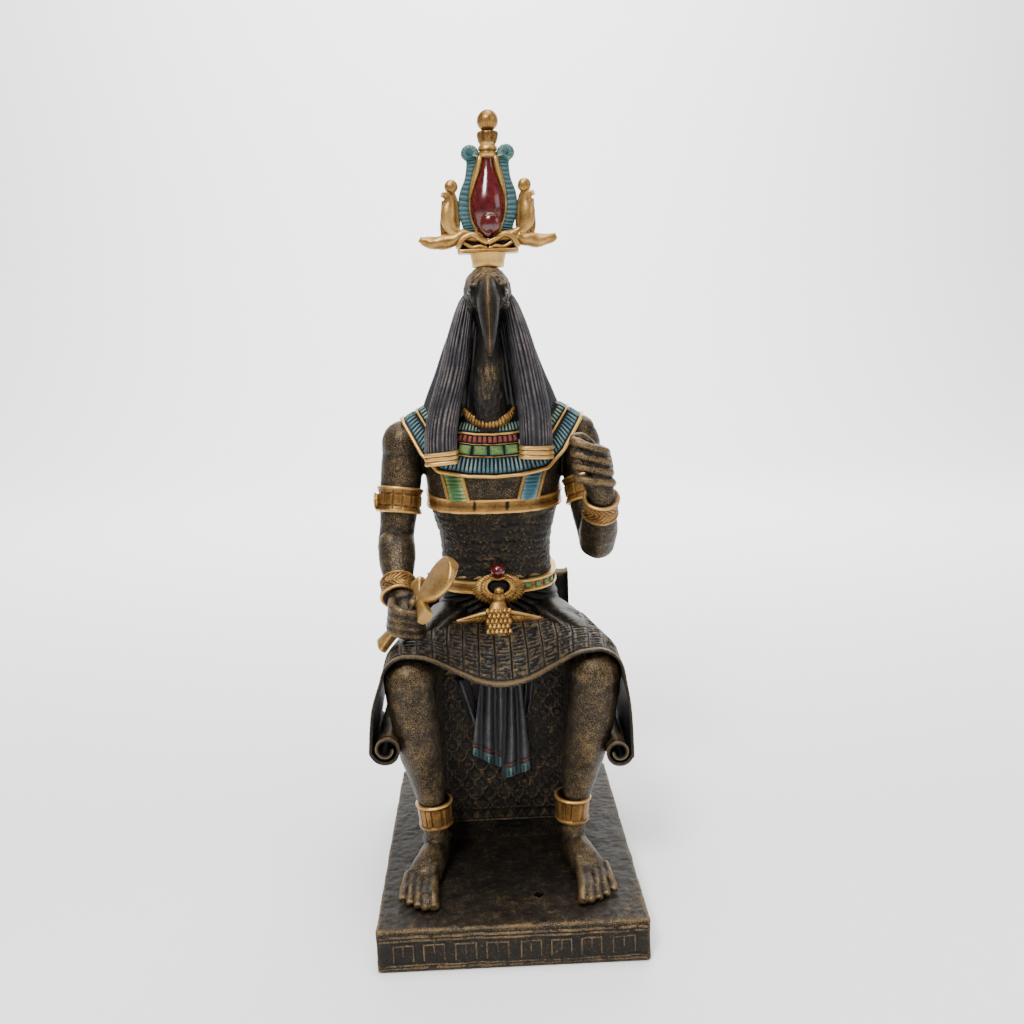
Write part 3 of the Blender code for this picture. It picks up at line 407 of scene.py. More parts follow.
def ball(centre: Row, radii: Row, rows: int = 12, sides: int = 20,
         turn: Array | None = None) -> Form:
    """An ellipsoid.

    Args:
        centre: its middle.
        radii: its half sizes.
        rows: rings from pole to pole.
        sides: points in a ring.
        turn: a matrix that turns it, if it is turned.
    Returns:
        The closed ellipsoid.
    """
    angle = np.linspace(0.12, math.pi - 0.12, rows)
    ring = oval(sides)
    shape = np.stack([np.sin(angle)[:, None] * ring[None, :, 0],
                      np.sin(angle)[:, None] * ring[None, :, 1],
                      np.repeat(np.cos(angle)[:, None], sides, axis=1)], axis=-1)
    form = skinned(shape)
    form.points[-2:] = ((0, 0, 1), (0, 0, -1))
    form.points = form.points * np.asarray(radii, float)
    if turn is not None:
        form.points = form.points @ np.asarray(turn).T
    form.points = form.points + np.asarray(centre, float)
    form.wear = None
    return form


def rod(path: Rows, radii: float | Row, sides: int = 8,
        flat: float = 1.0, side: Row = (0.31, 0.9, 0.3), closed: bool = False) -> Form:
    """A round or flattened rod along a path.

    Args:
        path: the points of its middle line.
        radii: one radius, or one for each point.
        sides: points round it.
        flat: its thickness as a share of its width.
        side: a direction that its width keeps to.
        closed: whether the path runs back into its start.
    Returns:
        The closed rod.
    """
    centre = np.asarray(path, float)
    sizes = np.broadcast_to(np.asarray(radii, float), (len(centre),))
    if closed:
        along = unit(np.roll(centre, -1, axis=0) - np.roll(centre, 1, axis=0))
    else:
        along = unit(np.gradient(centre, axis=0))
    way = np.asarray(side, float)
    across = unit(way - along * (along @ way)[:, None])
    up = np.cross(along, across)
    ring = oval(sides)
    sections = (centre[:, None] + sizes[:, None, None]
                * (across[:, None] * ring[None, :, :1] + up[:, None] * ring[None, :, 1:] * flat))
    if closed:
        rows = len(centre)
        faces = woven(rows + 1, sides, True)
        faces = [tuple(i % (rows * sides) for i in face) for face in faces]
        return facing_out(Form(sections.reshape(-1, 3), faces))
    return skinned(sections)


def turned(profile: Rows, sides: int, centre: Row = (0, 0, 0)) -> Form:
    """A turned shape.

    Args:
        profile: pairs of radius and height.
        sides: points round it.
        centre: the foot of its axis.
    Returns:
        The closed shape.
    """
    ring = oval(sides)
    rings = [np.stack([r * ring[:, 0], r * ring[:, 1], np.full(sides, h)], axis=1)
             for r, h in profile]
    form = skinned(np.array(rings))
    form.points = form.points + np.asarray(centre, float)
    return form


def level_rings(stations: Rows, rows: int, pairs: Array) -> Array:
    """Lays level rings along an eased run of stations.

    Args:
        stations: rows of x, y, z, half width and half depth.
        rows: how many rings.
        pairs: the outline of a ring of half sizes one.
    Returns:
        Rings, points and axes.
    """
    lines = eased(stations, rows)
    flat = lines[:, None, 3:] * pairs
    return lines[:, None, :3] + np.concatenate([flat, np.zeros((*flat.shape[:2], 1))], axis=-1)


def banded(place: Row, profile: Rows, pairs: Array, lift: Array) -> Form:
    """A band round an upright body.

    Args:
        place: x, y, z, half width and half depth of the body.
        profile: pairs of height and distance off the body, from below upwards.
        pairs: the body's outline with half sizes one.
        lift: how much higher the band lies at each point of the outline.
    Returns:
        The closed band.
    """
    x, y, z, wide, deep = place
    return skinned(np.array([np.stack([x + (wide + g) * pairs[:, 0], y + (deep + g) * pairs[:, 1],
                                       z + h + lift], axis=1) for h, g in profile]))


def chip(surface: Surface, outline: Rows, height: float, sink: float = 0.4,
         inset: float = 0.7, crown: float = 1.12) -> Form:
    """A low raised shape on a surface, with sloping sides.

    Args:
        surface: gives points from arrays of u, v and height in mm.
        outline: its corners in u and v.
        height: how far it stands up.
        sink: how far its foot runs in.
        inset: the size of its top as a share of its foot.
        crown: the height of its middle as a share of its edge.
    Returns:
        The closed shape, worn on top.
    """
    edge = np.asarray(outline, float)
    middle = edge.mean(0)
    rings, wear = [], []
    for share, lift, worn in ((1.0, -sink, 0.1), (1.0, height * 0.35, 0.3),
                              (mix(1.0, inset, 0.5), height * 0.85, 0.62), (inset, height, 0.8)):
        ring = middle + (edge - middle) * share
        rings.append(surface(ring[:, 0], ring[:, 1], np.full(len(ring), lift)))
        wear.append(np.full(len(ring), worn))
    form = skinned(np.array(rings), np.array(wear))
    form.points[-1] = surface(middle[:1], middle[1:], np.array([height * crown]))[0]
    form.wear[-1] = 0.85
    return form


def cast(forms: Sequence[Form], grain: float, rounds: int) -> Form:
    """Runs soft forms into one skin, as wax does.

    Args:
        forms: closed shapes that pass into one another.
        grain: size of the skin's faces in mm.
        rounds: how often the skin is smoothed.
    Returns:
        The skin.
    """
    return reskinned(helper("wax", together(forms)), grain, rounds)


def helper(name: str, form: Form) -> bpy.types.Object:
    """Puts a form in the scene for modifiers to work on.

    Args:
        name: a name for the object.
        form: its shape.
    Returns:
        The object.
    """
    data = bpy.data.meshes.new(name)
    data.from_pydata((form.points * MM).tolist(), [], form.faces)
    made = bpy.data.objects.new(name, data)
    bpy.context.scene.collection.objects.link(made)
    return made


def cleared(made: bpy.types.Object) -> None:
    """Takes a helper object and its mesh away.

    Args:
        made: the object.
    """
    data = made.data
    bpy.data.objects.remove(made, do_unlink=True)
    bpy.data.meshes.remove(data)


def bevelled(shape: bpy.types.Object, width: float) -> None:
    """Rounds an object's edges.

    Args:
        shape: the object.
        width: width of the rounding in mm.
    """
    bevel = shape.modifiers.new("edge", "BEVEL")
    bevel.width = width * MM
    bevel.segments = 3


def reskinned(shape: bpy.types.Object, grain: float, rounds: int = 0) -> Form:
    """Takes one even skin over a helper object and its modifiers, and clears the object.

    Args:
        shape: the helper object.
        grain: size of the skin's faces in mm.
        rounds: how often the skin is smoothed.
    Returns:
        The skin.
    """
    remesh = shape.modifiers.new("skin", "REMESH")
    remesh.mode = "VOXEL"
    remesh.voxel_size = grain * MM
    if rounds:
        smooth = shape.modifiers.new("smooth", "SMOOTH")
        smooth.factor = 0.5
        smooth.iterations = rounds
    graph = bpy.context.evaluated_depsgraph_get()
    made = bpy.data.meshes.new_from_object(shape.evaluated_get(graph))
    points = np.zeros(len(made.vertices) * 3, np.float32)
    made.vertices.foreach_get("co", points)
    faces = [tuple(p.vertices) for p in made.polygons]
    cleared(shape)
    bpy.data.meshes.remove(made)
    return facing_out(Form(points.reshape(-1, 3).astype(float) / MM, faces))


# Finishes


def linear(code: str) -> tuple[float, float, float, float]:
    """Turns a sRGB hex colour such as 3a2b1c to linear values with full cover."""
    levels = [int(code[k:k + 2], 16) / 255.0 for k in (0, 2, 4)]
    return (*[c / 12.92 if c <= 0.04045 else ((c + 0.055) / 1.055) ** 2.4 for c in levels], 1.0)


def node(tree: Tree, kind: str, settings: dict | None = None,
         links: dict | None = None) -> bpy.types.Node:
    """Adds a node with its settings and links.

    Args:
        tree: the material's node tree.
        kind: the node's type name.
        settings: attributes by name, and inputs by name or number with a leading ":".
        links: output sockets by the name or number of the input they feed.
    Returns:
        The new node.
    """
    made = tree.nodes.new(kind)
    for key, value in (settings or {}).items():
        if key.startswith(":"):
            made.inputs[int(key[1:]) if key[1:].isdigit() else key[1:]].default_value = value
        else:
            setattr(made, key, value)
    for key, socket in (links or {}).items():
        tree.links.new(socket, made.inputs[key])
    return made


def clouds(tree: Tree, place: Socket, size: float, detail: float) -> Socket:
    """Returns soft noise whose lumps have a size in mm."""
    return node(tree, "ShaderNodeTexNoise", {":Scale": 1.0 / (size * MM), ":Detail": detail},
                {"Vector": place}).outputs["Fac"]


def ranged(tree: Tree, value: Socket, low: float, high: float) -> Socket:
    """Returns a number from low to high that follows a value from 0 to 1."""
    return node(tree, "ShaderNodeMapRange", {":To Min": low, ":To Max": high},
                {"Value": value}).outputs["Result"]


def blend(tree: Tree, share: Socket, low: str | Socket, high: str) -> Socket:
    """Mixes two colours.

    Args:
        tree: the material's node tree.
        share: the share of the second colour.
        low: the first colour as a hex code or as another node's output.
        high: the second colour as a hex code.
    Returns:
        The mixed colour.
    """
    mixer = node(tree, "ShaderNodeMix", {"data_type": "RGBA"}, {0: share})
    mixer.inputs[7].default_value = linear(high)
    if isinstance(low, str):
        mixer.inputs[6].default_value = linear(low)
    else:
        tree.links.new(low, mixer.inputs[6])
    return mixer.outputs[2]


@dataclass(frozen=True)
class Finish:
    """What every finish has: a name, and one material of that name."""

    name: str

    def made(self) -> bpy.types.Material:
        """Builds the material.

        Returns:
            The material, made once for each name.
        """
        if self.name in bpy.data.materials:
            return bpy.data.materials[self.name]
        material = bpy.data.materials.new(self.name)
        material.use_nodes = True
        tree = material.node_tree
        place = node(tree, "ShaderNodeTexCoord").outputs["Object"]
        wear = node(tree, "ShaderNodeAttribute", {"attribute_name": "wear"}).outputs["Fac"]
        shader = tree.nodes["Principled BSDF"]
        for name, value in self.paint(tree, place, wear).items():
            if isinstance(value, float):
                shader.inputs[name].default_value = value
            else:
                tree.links.new(value, shader.inputs[name])
        return material

    def paint(self, tree: Tree, place: Socket, wear: Socket) -> dict[str, float | Socket]:
        """Is written by each kind of finish."""
        raise NotImplementedError


@dataclass(frozen=True)
class CastFinish(Finish):
    """Paint on cast resin: a dark wash in the hollows and metal rubbed over what stands proud.

    Limits are on the scale of wear, 0 in a hollow and 1 on an edge. Sizes are in mm.
    """

    hollow: str
    body: str
    rubbed: str
    wash_at: float = 0.40
    rub_at: float = 0.72
    spread: float = 0.10
    grain: float = 0.45
    speckle: float = 0.30
    patches: float = 0.12
    body_metal: float = 0.25
    rubbed_metal: float = 0.85
    roughness: float = 0.42
    bump: float = 0.05

    def paint(self, tree: Tree, place: Socket, wear: Socket) -> dict[str, float | Socket]:
        """Lays wash, body and rubbed metal over one another.

        Args:
            tree: the material's node tree.
            place: where a point lies.
            wear: its wear.
        Returns:
            What feeds the shader, by input.
        """
        grain = clouds(tree, place, self.grain, 2.0)
        broad = clouds(tree, place, 7.0, 3.0)
        level = wear
        for amount, lumps in ((self.speckle, grain), (self.patches, broad)):
            level = node(tree, "ShaderNodeMath", {"operation": "MULTIPLY_ADD", ":1": 2 * amount},
                         {0: lumps, 2: level}).outputs[0]
        shift = self.speckle + self.patches
        washed, rubbed = (node(tree, "ShaderNodeMapRange", {
            "interpolation_type": "SMOOTHSTEP", ":From Min": middle + shift - self.spread,
            ":From Max": middle + shift + self.spread}, {"Value": level}).outputs["Result"]
            for middle in (self.wash_at, self.rub_at))
        body = blend(tree, washed, self.hollow, self.body)
        bump = node(tree, "ShaderNodeBump", {":Strength": 1.0, ":Distance": self.bump * MM},
                    {"Height": grain})
        return {"Base Color": blend(tree, rubbed, body, self.rubbed),
                "Metallic": ranged(tree, rubbed, self.body_metal, self.rubbed_metal),
                "Roughness": ranged(tree, broad, self.roughness - 0.08, self.roughness + 0.12),
                "Normal": bump.outputs["Normal"]}


@dataclass(frozen=True)
class GlossFinish(Finish):
    """Clear lacquer over a deep paint, wet looking, with faint brush marks."""

    deep: str
    body: str
    roughness: float = 0.16
    coat: float = 0.8

    def paint(self, tree: Tree, place: Socket, wear: Socket) -> dict[str, float | Socket]:
        """Lays a clear coat over the paint.

        Args:
            tree: the material's node tree.
            place: where a point lies.
            wear: its wear.
        Returns:
            What feeds the shader, by input.
        """
        marks = clouds(tree, place, 2.2, 3.0)
        share = node(tree, "ShaderNodeMath", {"operation": "MULTIPLY", "use_clamp": True},
                     {0: wear, 1: marks}).outputs[0]
        share = node(tree, "ShaderNodeMapRange", {":From Min": 0.10, ":From Max": 0.60},
                     {"Value": share}).outputs["Result"]
        return {"Coat Weight": self.coat, "Coat Roughness": 0.08, "IOR": 1.5,
                "Base Color": blend(tree, share, self.deep, self.body),
                "Roughness": ranged(tree, marks, self.roughness - 0.06, self.roughness + 0.10)}


# Each finish, with what it is on the real figurine

# Resin filled with bronze powder and stained nearly black: matt skin with fine metal specks
SKIN = CastFinish("bronze_filled_resin_stained", "040302", "1a150e", "766040", wash_at=0.38,
                  rub_at=0.68, spread=0.15, grain=0.32, speckle=0.62, patches=0.16,
                  body_metal=0.6, rubbed_metal=0.7, roughness=0.46, bump=0.10)
# The same resin over a rough tool texture: dry brushing catches on many small points
STONE = CastFinish("bronze_filled_resin_textured", "030302", "1b150e", "6f5a3a", wash_at=0.40,
                   rub_at=0.73, spread=0.14, grain=0.36, speckle=0.56, patches=0.16,
                   body_metal=0.6, rubbed_metal=0.65, roughness=0.54, bump=0.12)
# Low carving in it: black in the cuts and old gold along the edges
CARVED = CastFinish("bronze_filled_resin_carved", "030302", "1c1710", "776142", wash_at=0.44,
                    rub_at=0.72, spread=0.14, grain=0.34, speckle=0.44, patches=0.16,
                    body_metal=0.6, rubbed_metal=0.65, roughness=0.50, bump=0.07)
# Resin of the written sheet: a browner rub over the face, black in the strokes
PAGE = CastFinish("bronze_filled_resin_written", "030302", "2b2216", "6c583a", wash_at=0.46,
                  rub_at=0.72, spread=0.16, grain=0.36, speckle=0.36, patches=0.14,
                  body_metal=0.5, rubbed_metal=0.6, roughness=0.52, bump=0.06)
# Powdered gilt paint, satin, with a brown wash left in the hollows
GILT = CastFinish("antique_gilt_paint", "1c1008", "7c5828", "c99f5c", wash_at=0.42, rub_at=0.70,
                  spread=0.18, grain=0.45, speckle=0.22, patches=0.18, body_metal=0.7,
                  rubbed_metal=0.8, roughness=0.34, bump=0.05)
# Mineral colours brushed on thinly: chalky, dark in the hollows, rubbed bare at the edges
TURQUOISE = CastFinish("turquoise_matt_paint", "040c0e", "1c4c50", "86906c", wash_at=0.40,
                       rub_at=0.80, spread=0.14, speckle=0.20, patches=0.18, body_metal=0.0,
                       rubbed_metal=0.3, roughness=0.46)
BLUE = CastFinish("lake_blue_matt_paint", "040b12", "1c4e5c", "7f8f88", wash_at=0.40, rub_at=0.84,
                  spread=0.14, speckle=0.20, patches=0.22, body_metal=0.0, rubbed_metal=0.2,
                  roughness=0.45)
GREEN = CastFinish("leaf_green_paint", "060c05", "235220", "84904f", wash_at=0.40, rub_at=0.84,
                   spread=0.14, speckle=0.18, patches=0.18, body_metal=0.0, rubbed_metal=0.3,
                   roughness=0.42)
RED = CastFinish("oxide_red_paint", "0a0203", "54101a", "84402c", wash_at=0.40, rub_at=0.78,
                 spread=0.14, speckle=0.22, patches=0.16, body_metal=0.0, rubbed_metal=0.4,
                 roughness=0.40)
HAIR = CastFinish("slate_violet_paint", "030304", "26242b", "7f726a", wash_at=0.46, rub_at=0.70,
                  spread=0.15, grain=0.5, speckle=0.14, patches=0.20, body_metal=0.05,
                  rubbed_metal=0.35, roughness=0.44, bump=0.04)
CLOTH = CastFinish("slate_grey_paint", "050507", "2d2c33", "6f675f", wash_at=0.42, rub_at=0.80,
                   spread=0.16, speckle=0.16, patches=0.18, body_metal=0.0, rubbed_metal=0.2,
                   roughness=0.55)
# Red under clear lacquer: the only wet-looking colour
GARNET = GlossFinish("garnet_lacquer", "260104", "780810", roughness=0.18, coat=0.6)
# Glass-like black of the eyes
EYE = GlossFinish("black_eye_lacquer", "020202", "0a0806", roughness=0.14)


class Shop:
    """Makes the pieces, tells the frame about them and keeps their count."""

    def __init__(self) -> None:
        """Starts with no pieces."""
        self.made: list[bpy.types.Object] = []

    def piece(self, name: str, form: Form, finishes: Sequence[Finish],
              slot: Slot = Slot.BRONZE, crease: float = 50.0) -> bpy.types.Object:
        """Turns a form into a piece of the figurine.

        Args:
            name: the piece's name.
            form: its shape in mm.
            finishes: its finishes, in the order of the form's numbers.
            slot: the record's material that it belongs to. Not used.
            crease: edges sharper than this many degrees stay sharp.
        Returns:
            The new object, riding on the body.
        """
        form.filled()
        data = bpy.data.meshes.new(name)
        data.from_pydata(((form.points + (0, 0, PLINTH_TOP)) * MM).tolist(), [], form.faces)
        worn = data.attributes.new("wear", "FLOAT", "POINT")
        worn.data.foreach_set("value", form.wear.astype(np.float32))
        data.polygons.foreach_set("material_index", form.zones.astype(np.int32))
        for finish in finishes:
            data.materials.append(finish.made())
        data.shade_smooth()
        data.set_sharp_from_angle(angle=math.radians(crease))
        data.update()
        made = bpy.data.objects.new(name, data)
        bpy.context.scene.collection.objects.link(made)
        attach(made, BODY)
        self.made.append(made)
        size = form.points.max(0) - form.points.min(0)
        LOG.info("%s: %d faces, %.1f x %.1f x %.1f mm", name, len(form.faces), *size)
        return made


# The figure's pose


def sided(left: Row, right: Row) -> dict:
    """Returns a field that holds one row of numbers for each side."""
    return field(default_factory=lambda: {-1: left, 1: right})


@dataclass(frozen=True)
class Pose:
    """Joints of the figure, by side, in mm."""

    shoulder: dict = sided((-37.0, 27.0, 158.0), (34.8, 27.0, 156.0))
    elbow: dict = sided((-41.3, 20.0, 121.0), (40.6, 15.0, 117.5))
    wrist: dict = sided((-39.5, -2.0, 106.0), (40.8, -1.0, 139.0))
    fist: dict = sided((-35.0, -14.5, 97.8), (36.6, -4.5, 153.5))
    knee: dict = sided((-35.4, -23.0, 76.5), (34.8, -23.0, 76.5))
    ankle: dict = sided((-28.0, -20.5, 14.0), (25.0, -20.5, 14.0))
    toes: dict = sided((-33.5, -52.0, 3.0), (31.0, -53.0, 3.0))
    hip: dict = sided((-15.0, 34.0, 82.0), (15.0, 34.0, 82.0))


POSE = Pose()


def between(a: Row, b: Row, share: float) -> Array:
    """Returns the point that lies a share of the way from a to b."""
    return mix(np.asarray(a, float), np.asarray(b, float), share)


@dataclass
class Legs:
    """Both bare legs and feet, seen below the papyrus."""

    grain: float = 0.62
    toe_reach: tuple = (-57.2, -56.9, -55.4, -53.2, -50.2)
    toe_size: tuple = (2.35, 1.75, 1.65, 1.6, 1.5)

    def leg(self, sign: int) -> list[Form]:
        """Models one leg.

        Args:
            sign: -1 for the viewer's left, 1 for the right.
        Returns:
            The forms that run into one.
        """
        hip, knee = POSE.hip[sign], POSE.knee[sign]
        ankle = POSE.ankle[sign]
        shin = [(mix(knee[0], ankle[0], s), y, z, w, d) for s, y, z, w, d in (
            (0.0, -22.5, 74.0, 9.7, 9.4), (0.12, -22.4, 63.0, 9.2, 9.7),
            (0.35, -20.8, 49.0, 8.5, 10.0), (0.62, -19.5, 36.0, 7.0, 8.0),
            (0.88, -20.0, 22.0, 5.0, 5.7), (1.0, -20.3, 12.0, 4.9, 5.7), (1.0, -19.8, 6.0, 5.2, 7.0))]
        thigh = [(hip[0], hip[1], hip[2], 13.0, 12.0),
                 (mix(hip[0], knee[0], 0.35), 16.0, 81.0, 12.5, 12.0),
                 (mix(hip[0], knee[0], 0.75), -4.0, 79.0, 11.0, 10.8),
                 (knee[0], -20.0, 76.6, 10.2, 9.6)]
        calf = between(knee, ankle, 0.36)
        return [limb(thigh), limb(shin),
                ball((knee[0], -23.0, 75.6), (9.9, 9.8, 9.8)),
                ball((knee[0] - 0.4 * sign, -28.2, 73.0), (5.6, 4.4, 7.4)),
                ball((knee[0] - 4.4 * sign, -27.4, 69.0), (3.2, 3.6, 5.0)),
                ball((knee[0] + 3.8 * sign, -27.4, 69.0), (3.0, 3.4, 5.0)),
                ball((calf[0] - 3.6 * sign, -15.5, 50.0), (5.0, 6.2, 13.0)),
                ball((calf[0] + 3.2 * sign, -15.5, 52.0), (4.8, 5.6, 12.0)),
                ball((ankle[0] - 3.8 * sign, -19.0, 9.8), (2.0, 2.8, 2.6)),
                ball((ankle[0] + 3.8 * sign, -18.0, 8.4), (2.0, 2.8, 2.6))]

    def foot(self, sign: int) -> list[Form]:
        """Models one foot with its tendons, toes and nails.

        Args:
            sign: -1 for the viewer's left, 1 for the right.
        Returns:
            The forms that run into one.
        """
        ankle, toes = POSE.ankle[sign], POSE.toes[sign]
        forms = [limb([(ankle[0] - 0.2 * sign, -12.5, 3.6, 4.6, 4.4),
                       (ankle[0], -20.0, 5.0, 5.2, 5.8),
                       (mix(ankle[0], toes[0], 0.35), -29.0, 5.2, 5.8, 5.6),
                       (mix(ankle[0], toes[0], 0.75), -36.5, 3.7, 6.4, 4.2),
                       (toes[0] + 0.6 * sign, -41.0, 2.3, 6.7, 2.6)])]
        for i, (reach, size) in enumerate(zip(self.toe_reach, self.toe_size)):
            share = i / 4
            tip = toes[0] + sign * mix(-5.6, 6.6, share)
            root = toes[0] + sign * mix(-4.6, 5.4, share) - 0.4 * sign
            knuckle = mix(root, tip, 0.6)
            forms.append(limb([(root, -37.0, 4.6, size * 0.8, 2.0),
                               (mix(root, tip, 0.4), -44.5, 3.9, size * 0.76, size * 0.9),
                               (knuckle, reach + 6.2, 3.3, size * 0.86, size * 1.1),
                               (tip, reach + size * 0.9, 1.5, size * 0.90, size * 0.85)], sides=14))
            forms.append(ball((tip, reach + size * 0.8, 1.7 + size * 0.55),
                              (size * 0.62, size * 0.75, 0.62)))
            forms.append(rod([(mix(ankle[0], root, 0.15), -26.0, 10.0 - 0.5 * i),
                              (mix(ankle[0], root, 0.5), -33.0, 8.2 - 0.5 * i),
                              (mix(ankle[0], root, 0.85), -40.0, 5.4 - 0.3 * i),
                              (root, -45.0, 4.2)], (0.6, 1.15, 1.15, 0.9)))
        return forms

    def build(self, shop: Shop) -> None:
        """Casts both legs with a fine hammered skin.

        Args:
            shop: takes the finished piece.
        """
        forms = [part for side in Side for part in self.leg(side.value) + self.foot(side.value)]
        skin = cast(forms, self.grain, 4)
        skin.pushed(0.13 * noise(skin.points, 1.2, 3) + 0.16 * noise(skin.points, 4.0, 4))
        p = skin.points
        cloth = step(85.0, 87.0, p[:, 2])
        fold = np.sin((p[:, 2] + 0.34 * np.abs(p[:, 0])) * 1.9 + 0.8 * noise(p, 6.0, 2))
        skin.pushed(0.36 * cloth * np.sign(fold) * np.abs(fold) ** 0.6)
        # Lighter where the skin faces up and forward: dry brushing together with painted light.
        skin.rubbed(7, 0.70).brushed_and_lit(0.12)
        skin.worn(-0.22 * cloth)
        shop.piece("legs_and_feet", skin, [SKIN])


@dataclass
class UpperBody:
    """Chest, shoulders, arms and both hands."""

    grain: float = 0.60

    def arm(self, sign: int) -> list[Form]:
        """Models one arm with its muscles.

        Args:
            sign: -1 for the viewer's left, 1 for the right.
        Returns:
            The forms that run into one.
        """
        shoulder, elbow, wrist = POSE.shoulder[sign], POSE.elbow[sign], POSE.wrist[sign]
        fist = POSE.fist[sign]
        upper = [(shoulder[0] - sign, shoulder[1], shoulder[2] + 3.5, 8.6, 9.3)]
        upper += [(*between(shoulder, elbow, s), w, d) for s, w, d in
                  ((0.2, 8.6, 9.4), (0.55, 8.1, 8.5), (0.85, 7.2, 7.6), (1.0, 7.2, 7.2))]
        fore = [(*between(elbow, wrist, s), w, d) for s, w, d in
                ((0.0, 7.3, 7.1), (0.35, 7.6, 7.2), (0.75, 6.1, 5.7), (1.0, 5.2, 4.8))]
        fore.append((*between(wrist, fist, 0.5), 5.7, 5.1))
        brawn = between(shoulder, elbow, 0.58)
        outer = between(elbow, wrist, 0.22)
        return [limb(upper), limb(fore),
                ball((shoulder[0] + 0.4 * sign, shoulder[1] - 1.0, shoulder[2] + 0.5), (8.6, 9.6, 10.5)),
                ball((brawn[0] - 0.8 * sign, brawn[1] - 3.2, brawn[2]), (5.6, 6.0, 11.0)),
                ball((brawn[0] + 0.6 * sign, brawn[1] + 3.6, brawn[2] + 4.0), (6.2, 5.4, 12.0)),
                ball((elbow[0], elbow[1] + 2.6, elbow[2] - 2.4), (4.6, 4.6, 4.4)),
                ball((outer[0] + 1.6 * sign, outer[1], outer[2] + 1.0), (6.2, 7.2, 7.0))]

    def resting_hand(self) -> list[Form]:
        """Models the fist that is closed round the ankh on the thigh.

        Returns:
            The forms that run into one.
        """
        x, y, z = POSE.fist[-1]
        forms = [ball((x - 0.5, y + 1.0, z + 0.5), (6.4, 7.0, 6.6))]
        for i in range(4):
            rise, lean = 4.4 - 2.9 * i, -0.36 * i
            forms.append(limb([(x - 6.0 + lean, y + 1.0, z + rise + 1.4, 1.75, 1.9),
                               (x - 5.4 + lean, y - 4.6, z + rise + 0.5, 1.7, 1.8),
                               (x - 3.4, y - 7.4, z + rise - 0.2, 1.85, 1.95),
                               (x - 0.5, y - 8.0, z + rise - 1.0, 1.6, 1.75),
                               (x + 3.4, y - 7.0, z + rise - 2.0, 1.65, 1.75),
                               (x + 5.4, y - 2.5, z + rise - 2.6, 1.4, 1.5)], side=(0, 0, 1), sides=14))
        forms.append(limb([(x + 1.0, y + 5.0, z + 6.0, 2.1, 2.1), (x + 3.4, y - 0.5, z + 7.2, 2.0, 2.0),
                           (x + 2.0, y - 5.6, z + 6.2, 1.7, 1.7)], side=(0, 0, 1), sides=14))
        return forms

    def raised_hand(self) -> list[Form]:
        """Models the raised fist, which is hollow along its grip.

        Returns:
            The forms that run into one.
        """
        x, y, z = POSE.fist[1]
        forms = [ball((x + 3.4, y + 1.6, z - 3.0), (5.4, 5.0, 9.0))]
        for i in range(4):
            knuckle, tip = 4.4 - 4.0 * i, 7.8 - 4.7 * i
            forms.append(limb([(x + 5.6 + 0.7 * i, y + 1.0, z + knuckle - 1.4, 1.8, 2.1),
                               (x + 4.0 + 0.6 * i, y - 4.2, z + knuckle - 0.4, 1.85, 2.4),
                               (x - 1.6 + 0.5 * i, y - 6.4, z + mix(knuckle, tip, 0.5), 1.6, 2.0),
                               (x - 6.0 + 0.4 * i, y - 4.8, z + tip, 1.75, 2.0),
                               (x - 7.0 + 0.5 * i, y + 0.2, z + tip, 1.7, 1.6)],
                              side=(0, 0, 1), sides=16))
        forms.append(limb([(x + 2.0, y + 5.0, z + 3.5, 2.3, 2.3), (x - 2.6, y + 4.2, z + 8.4, 2.0, 2.0),
                           (x - 6.6, y + 0.6, z + 9.0, 1.6, 1.6)], side=(0, 0, 1), sides=16))
        return forms

    def chest(self) -> list[Form]:
        """Models the chest above the waist and the slopes of the shoulders.

        Returns:
            The forms that run into one.
        """
        forms = [limb([(-0.6, 29, 133, 26.0, 17.2), (-0.6, 28, 140, 27.3, 18.8),
                       (-0.6, 28, 149, 28.3, 19.4), (-0.6, 28, 158, 29.9, 18.4),
                       (-0.6, 28, 166, 30.9, 15.4), (-0.6, 28, 172, 25.0, 12.5),
                       (-0.6, 27, 179, 14.0, 10.5)], power=2.5, sides=48)]
        for sign in (-1, 1):
            forms.append(ball((10.5 * sign - 0.6, 17.0, 149), (12, 7.4, 9)))
            forms.append(limb([(7.0 * sign, 27, 175, 8.6, 6.6), (20.0 * sign, 27, 170.0, 8.6, 6.6),
                               (36.0 * sign, 27, 162.0, 8.6, 6.6)], side=(0, 1, 0)))
        return forms

    def build(self, shop: Shop) -> None:
        """Casts the upper body.

        Args:
            shop: takes the finished piece.
        """
        forms = self.chest() + self.arm(-1) + self.arm(1) + self.resting_hand() + self.raised_hand()
        skin = cast(forms, self.grain, 3)
        skin.pushed(0.12 * noise(skin.points, 1.2, 5) + 0.16 * noise(skin.points, 4.5, 6))
        # Lighter where the skin faces up and forward: dry brushing together with painted light.
        skin.rubbed(7, 0.70).brushed_and_lit(0.08)
        shop.piece("shoulders_arms_and_hands", skin, [SKIN])


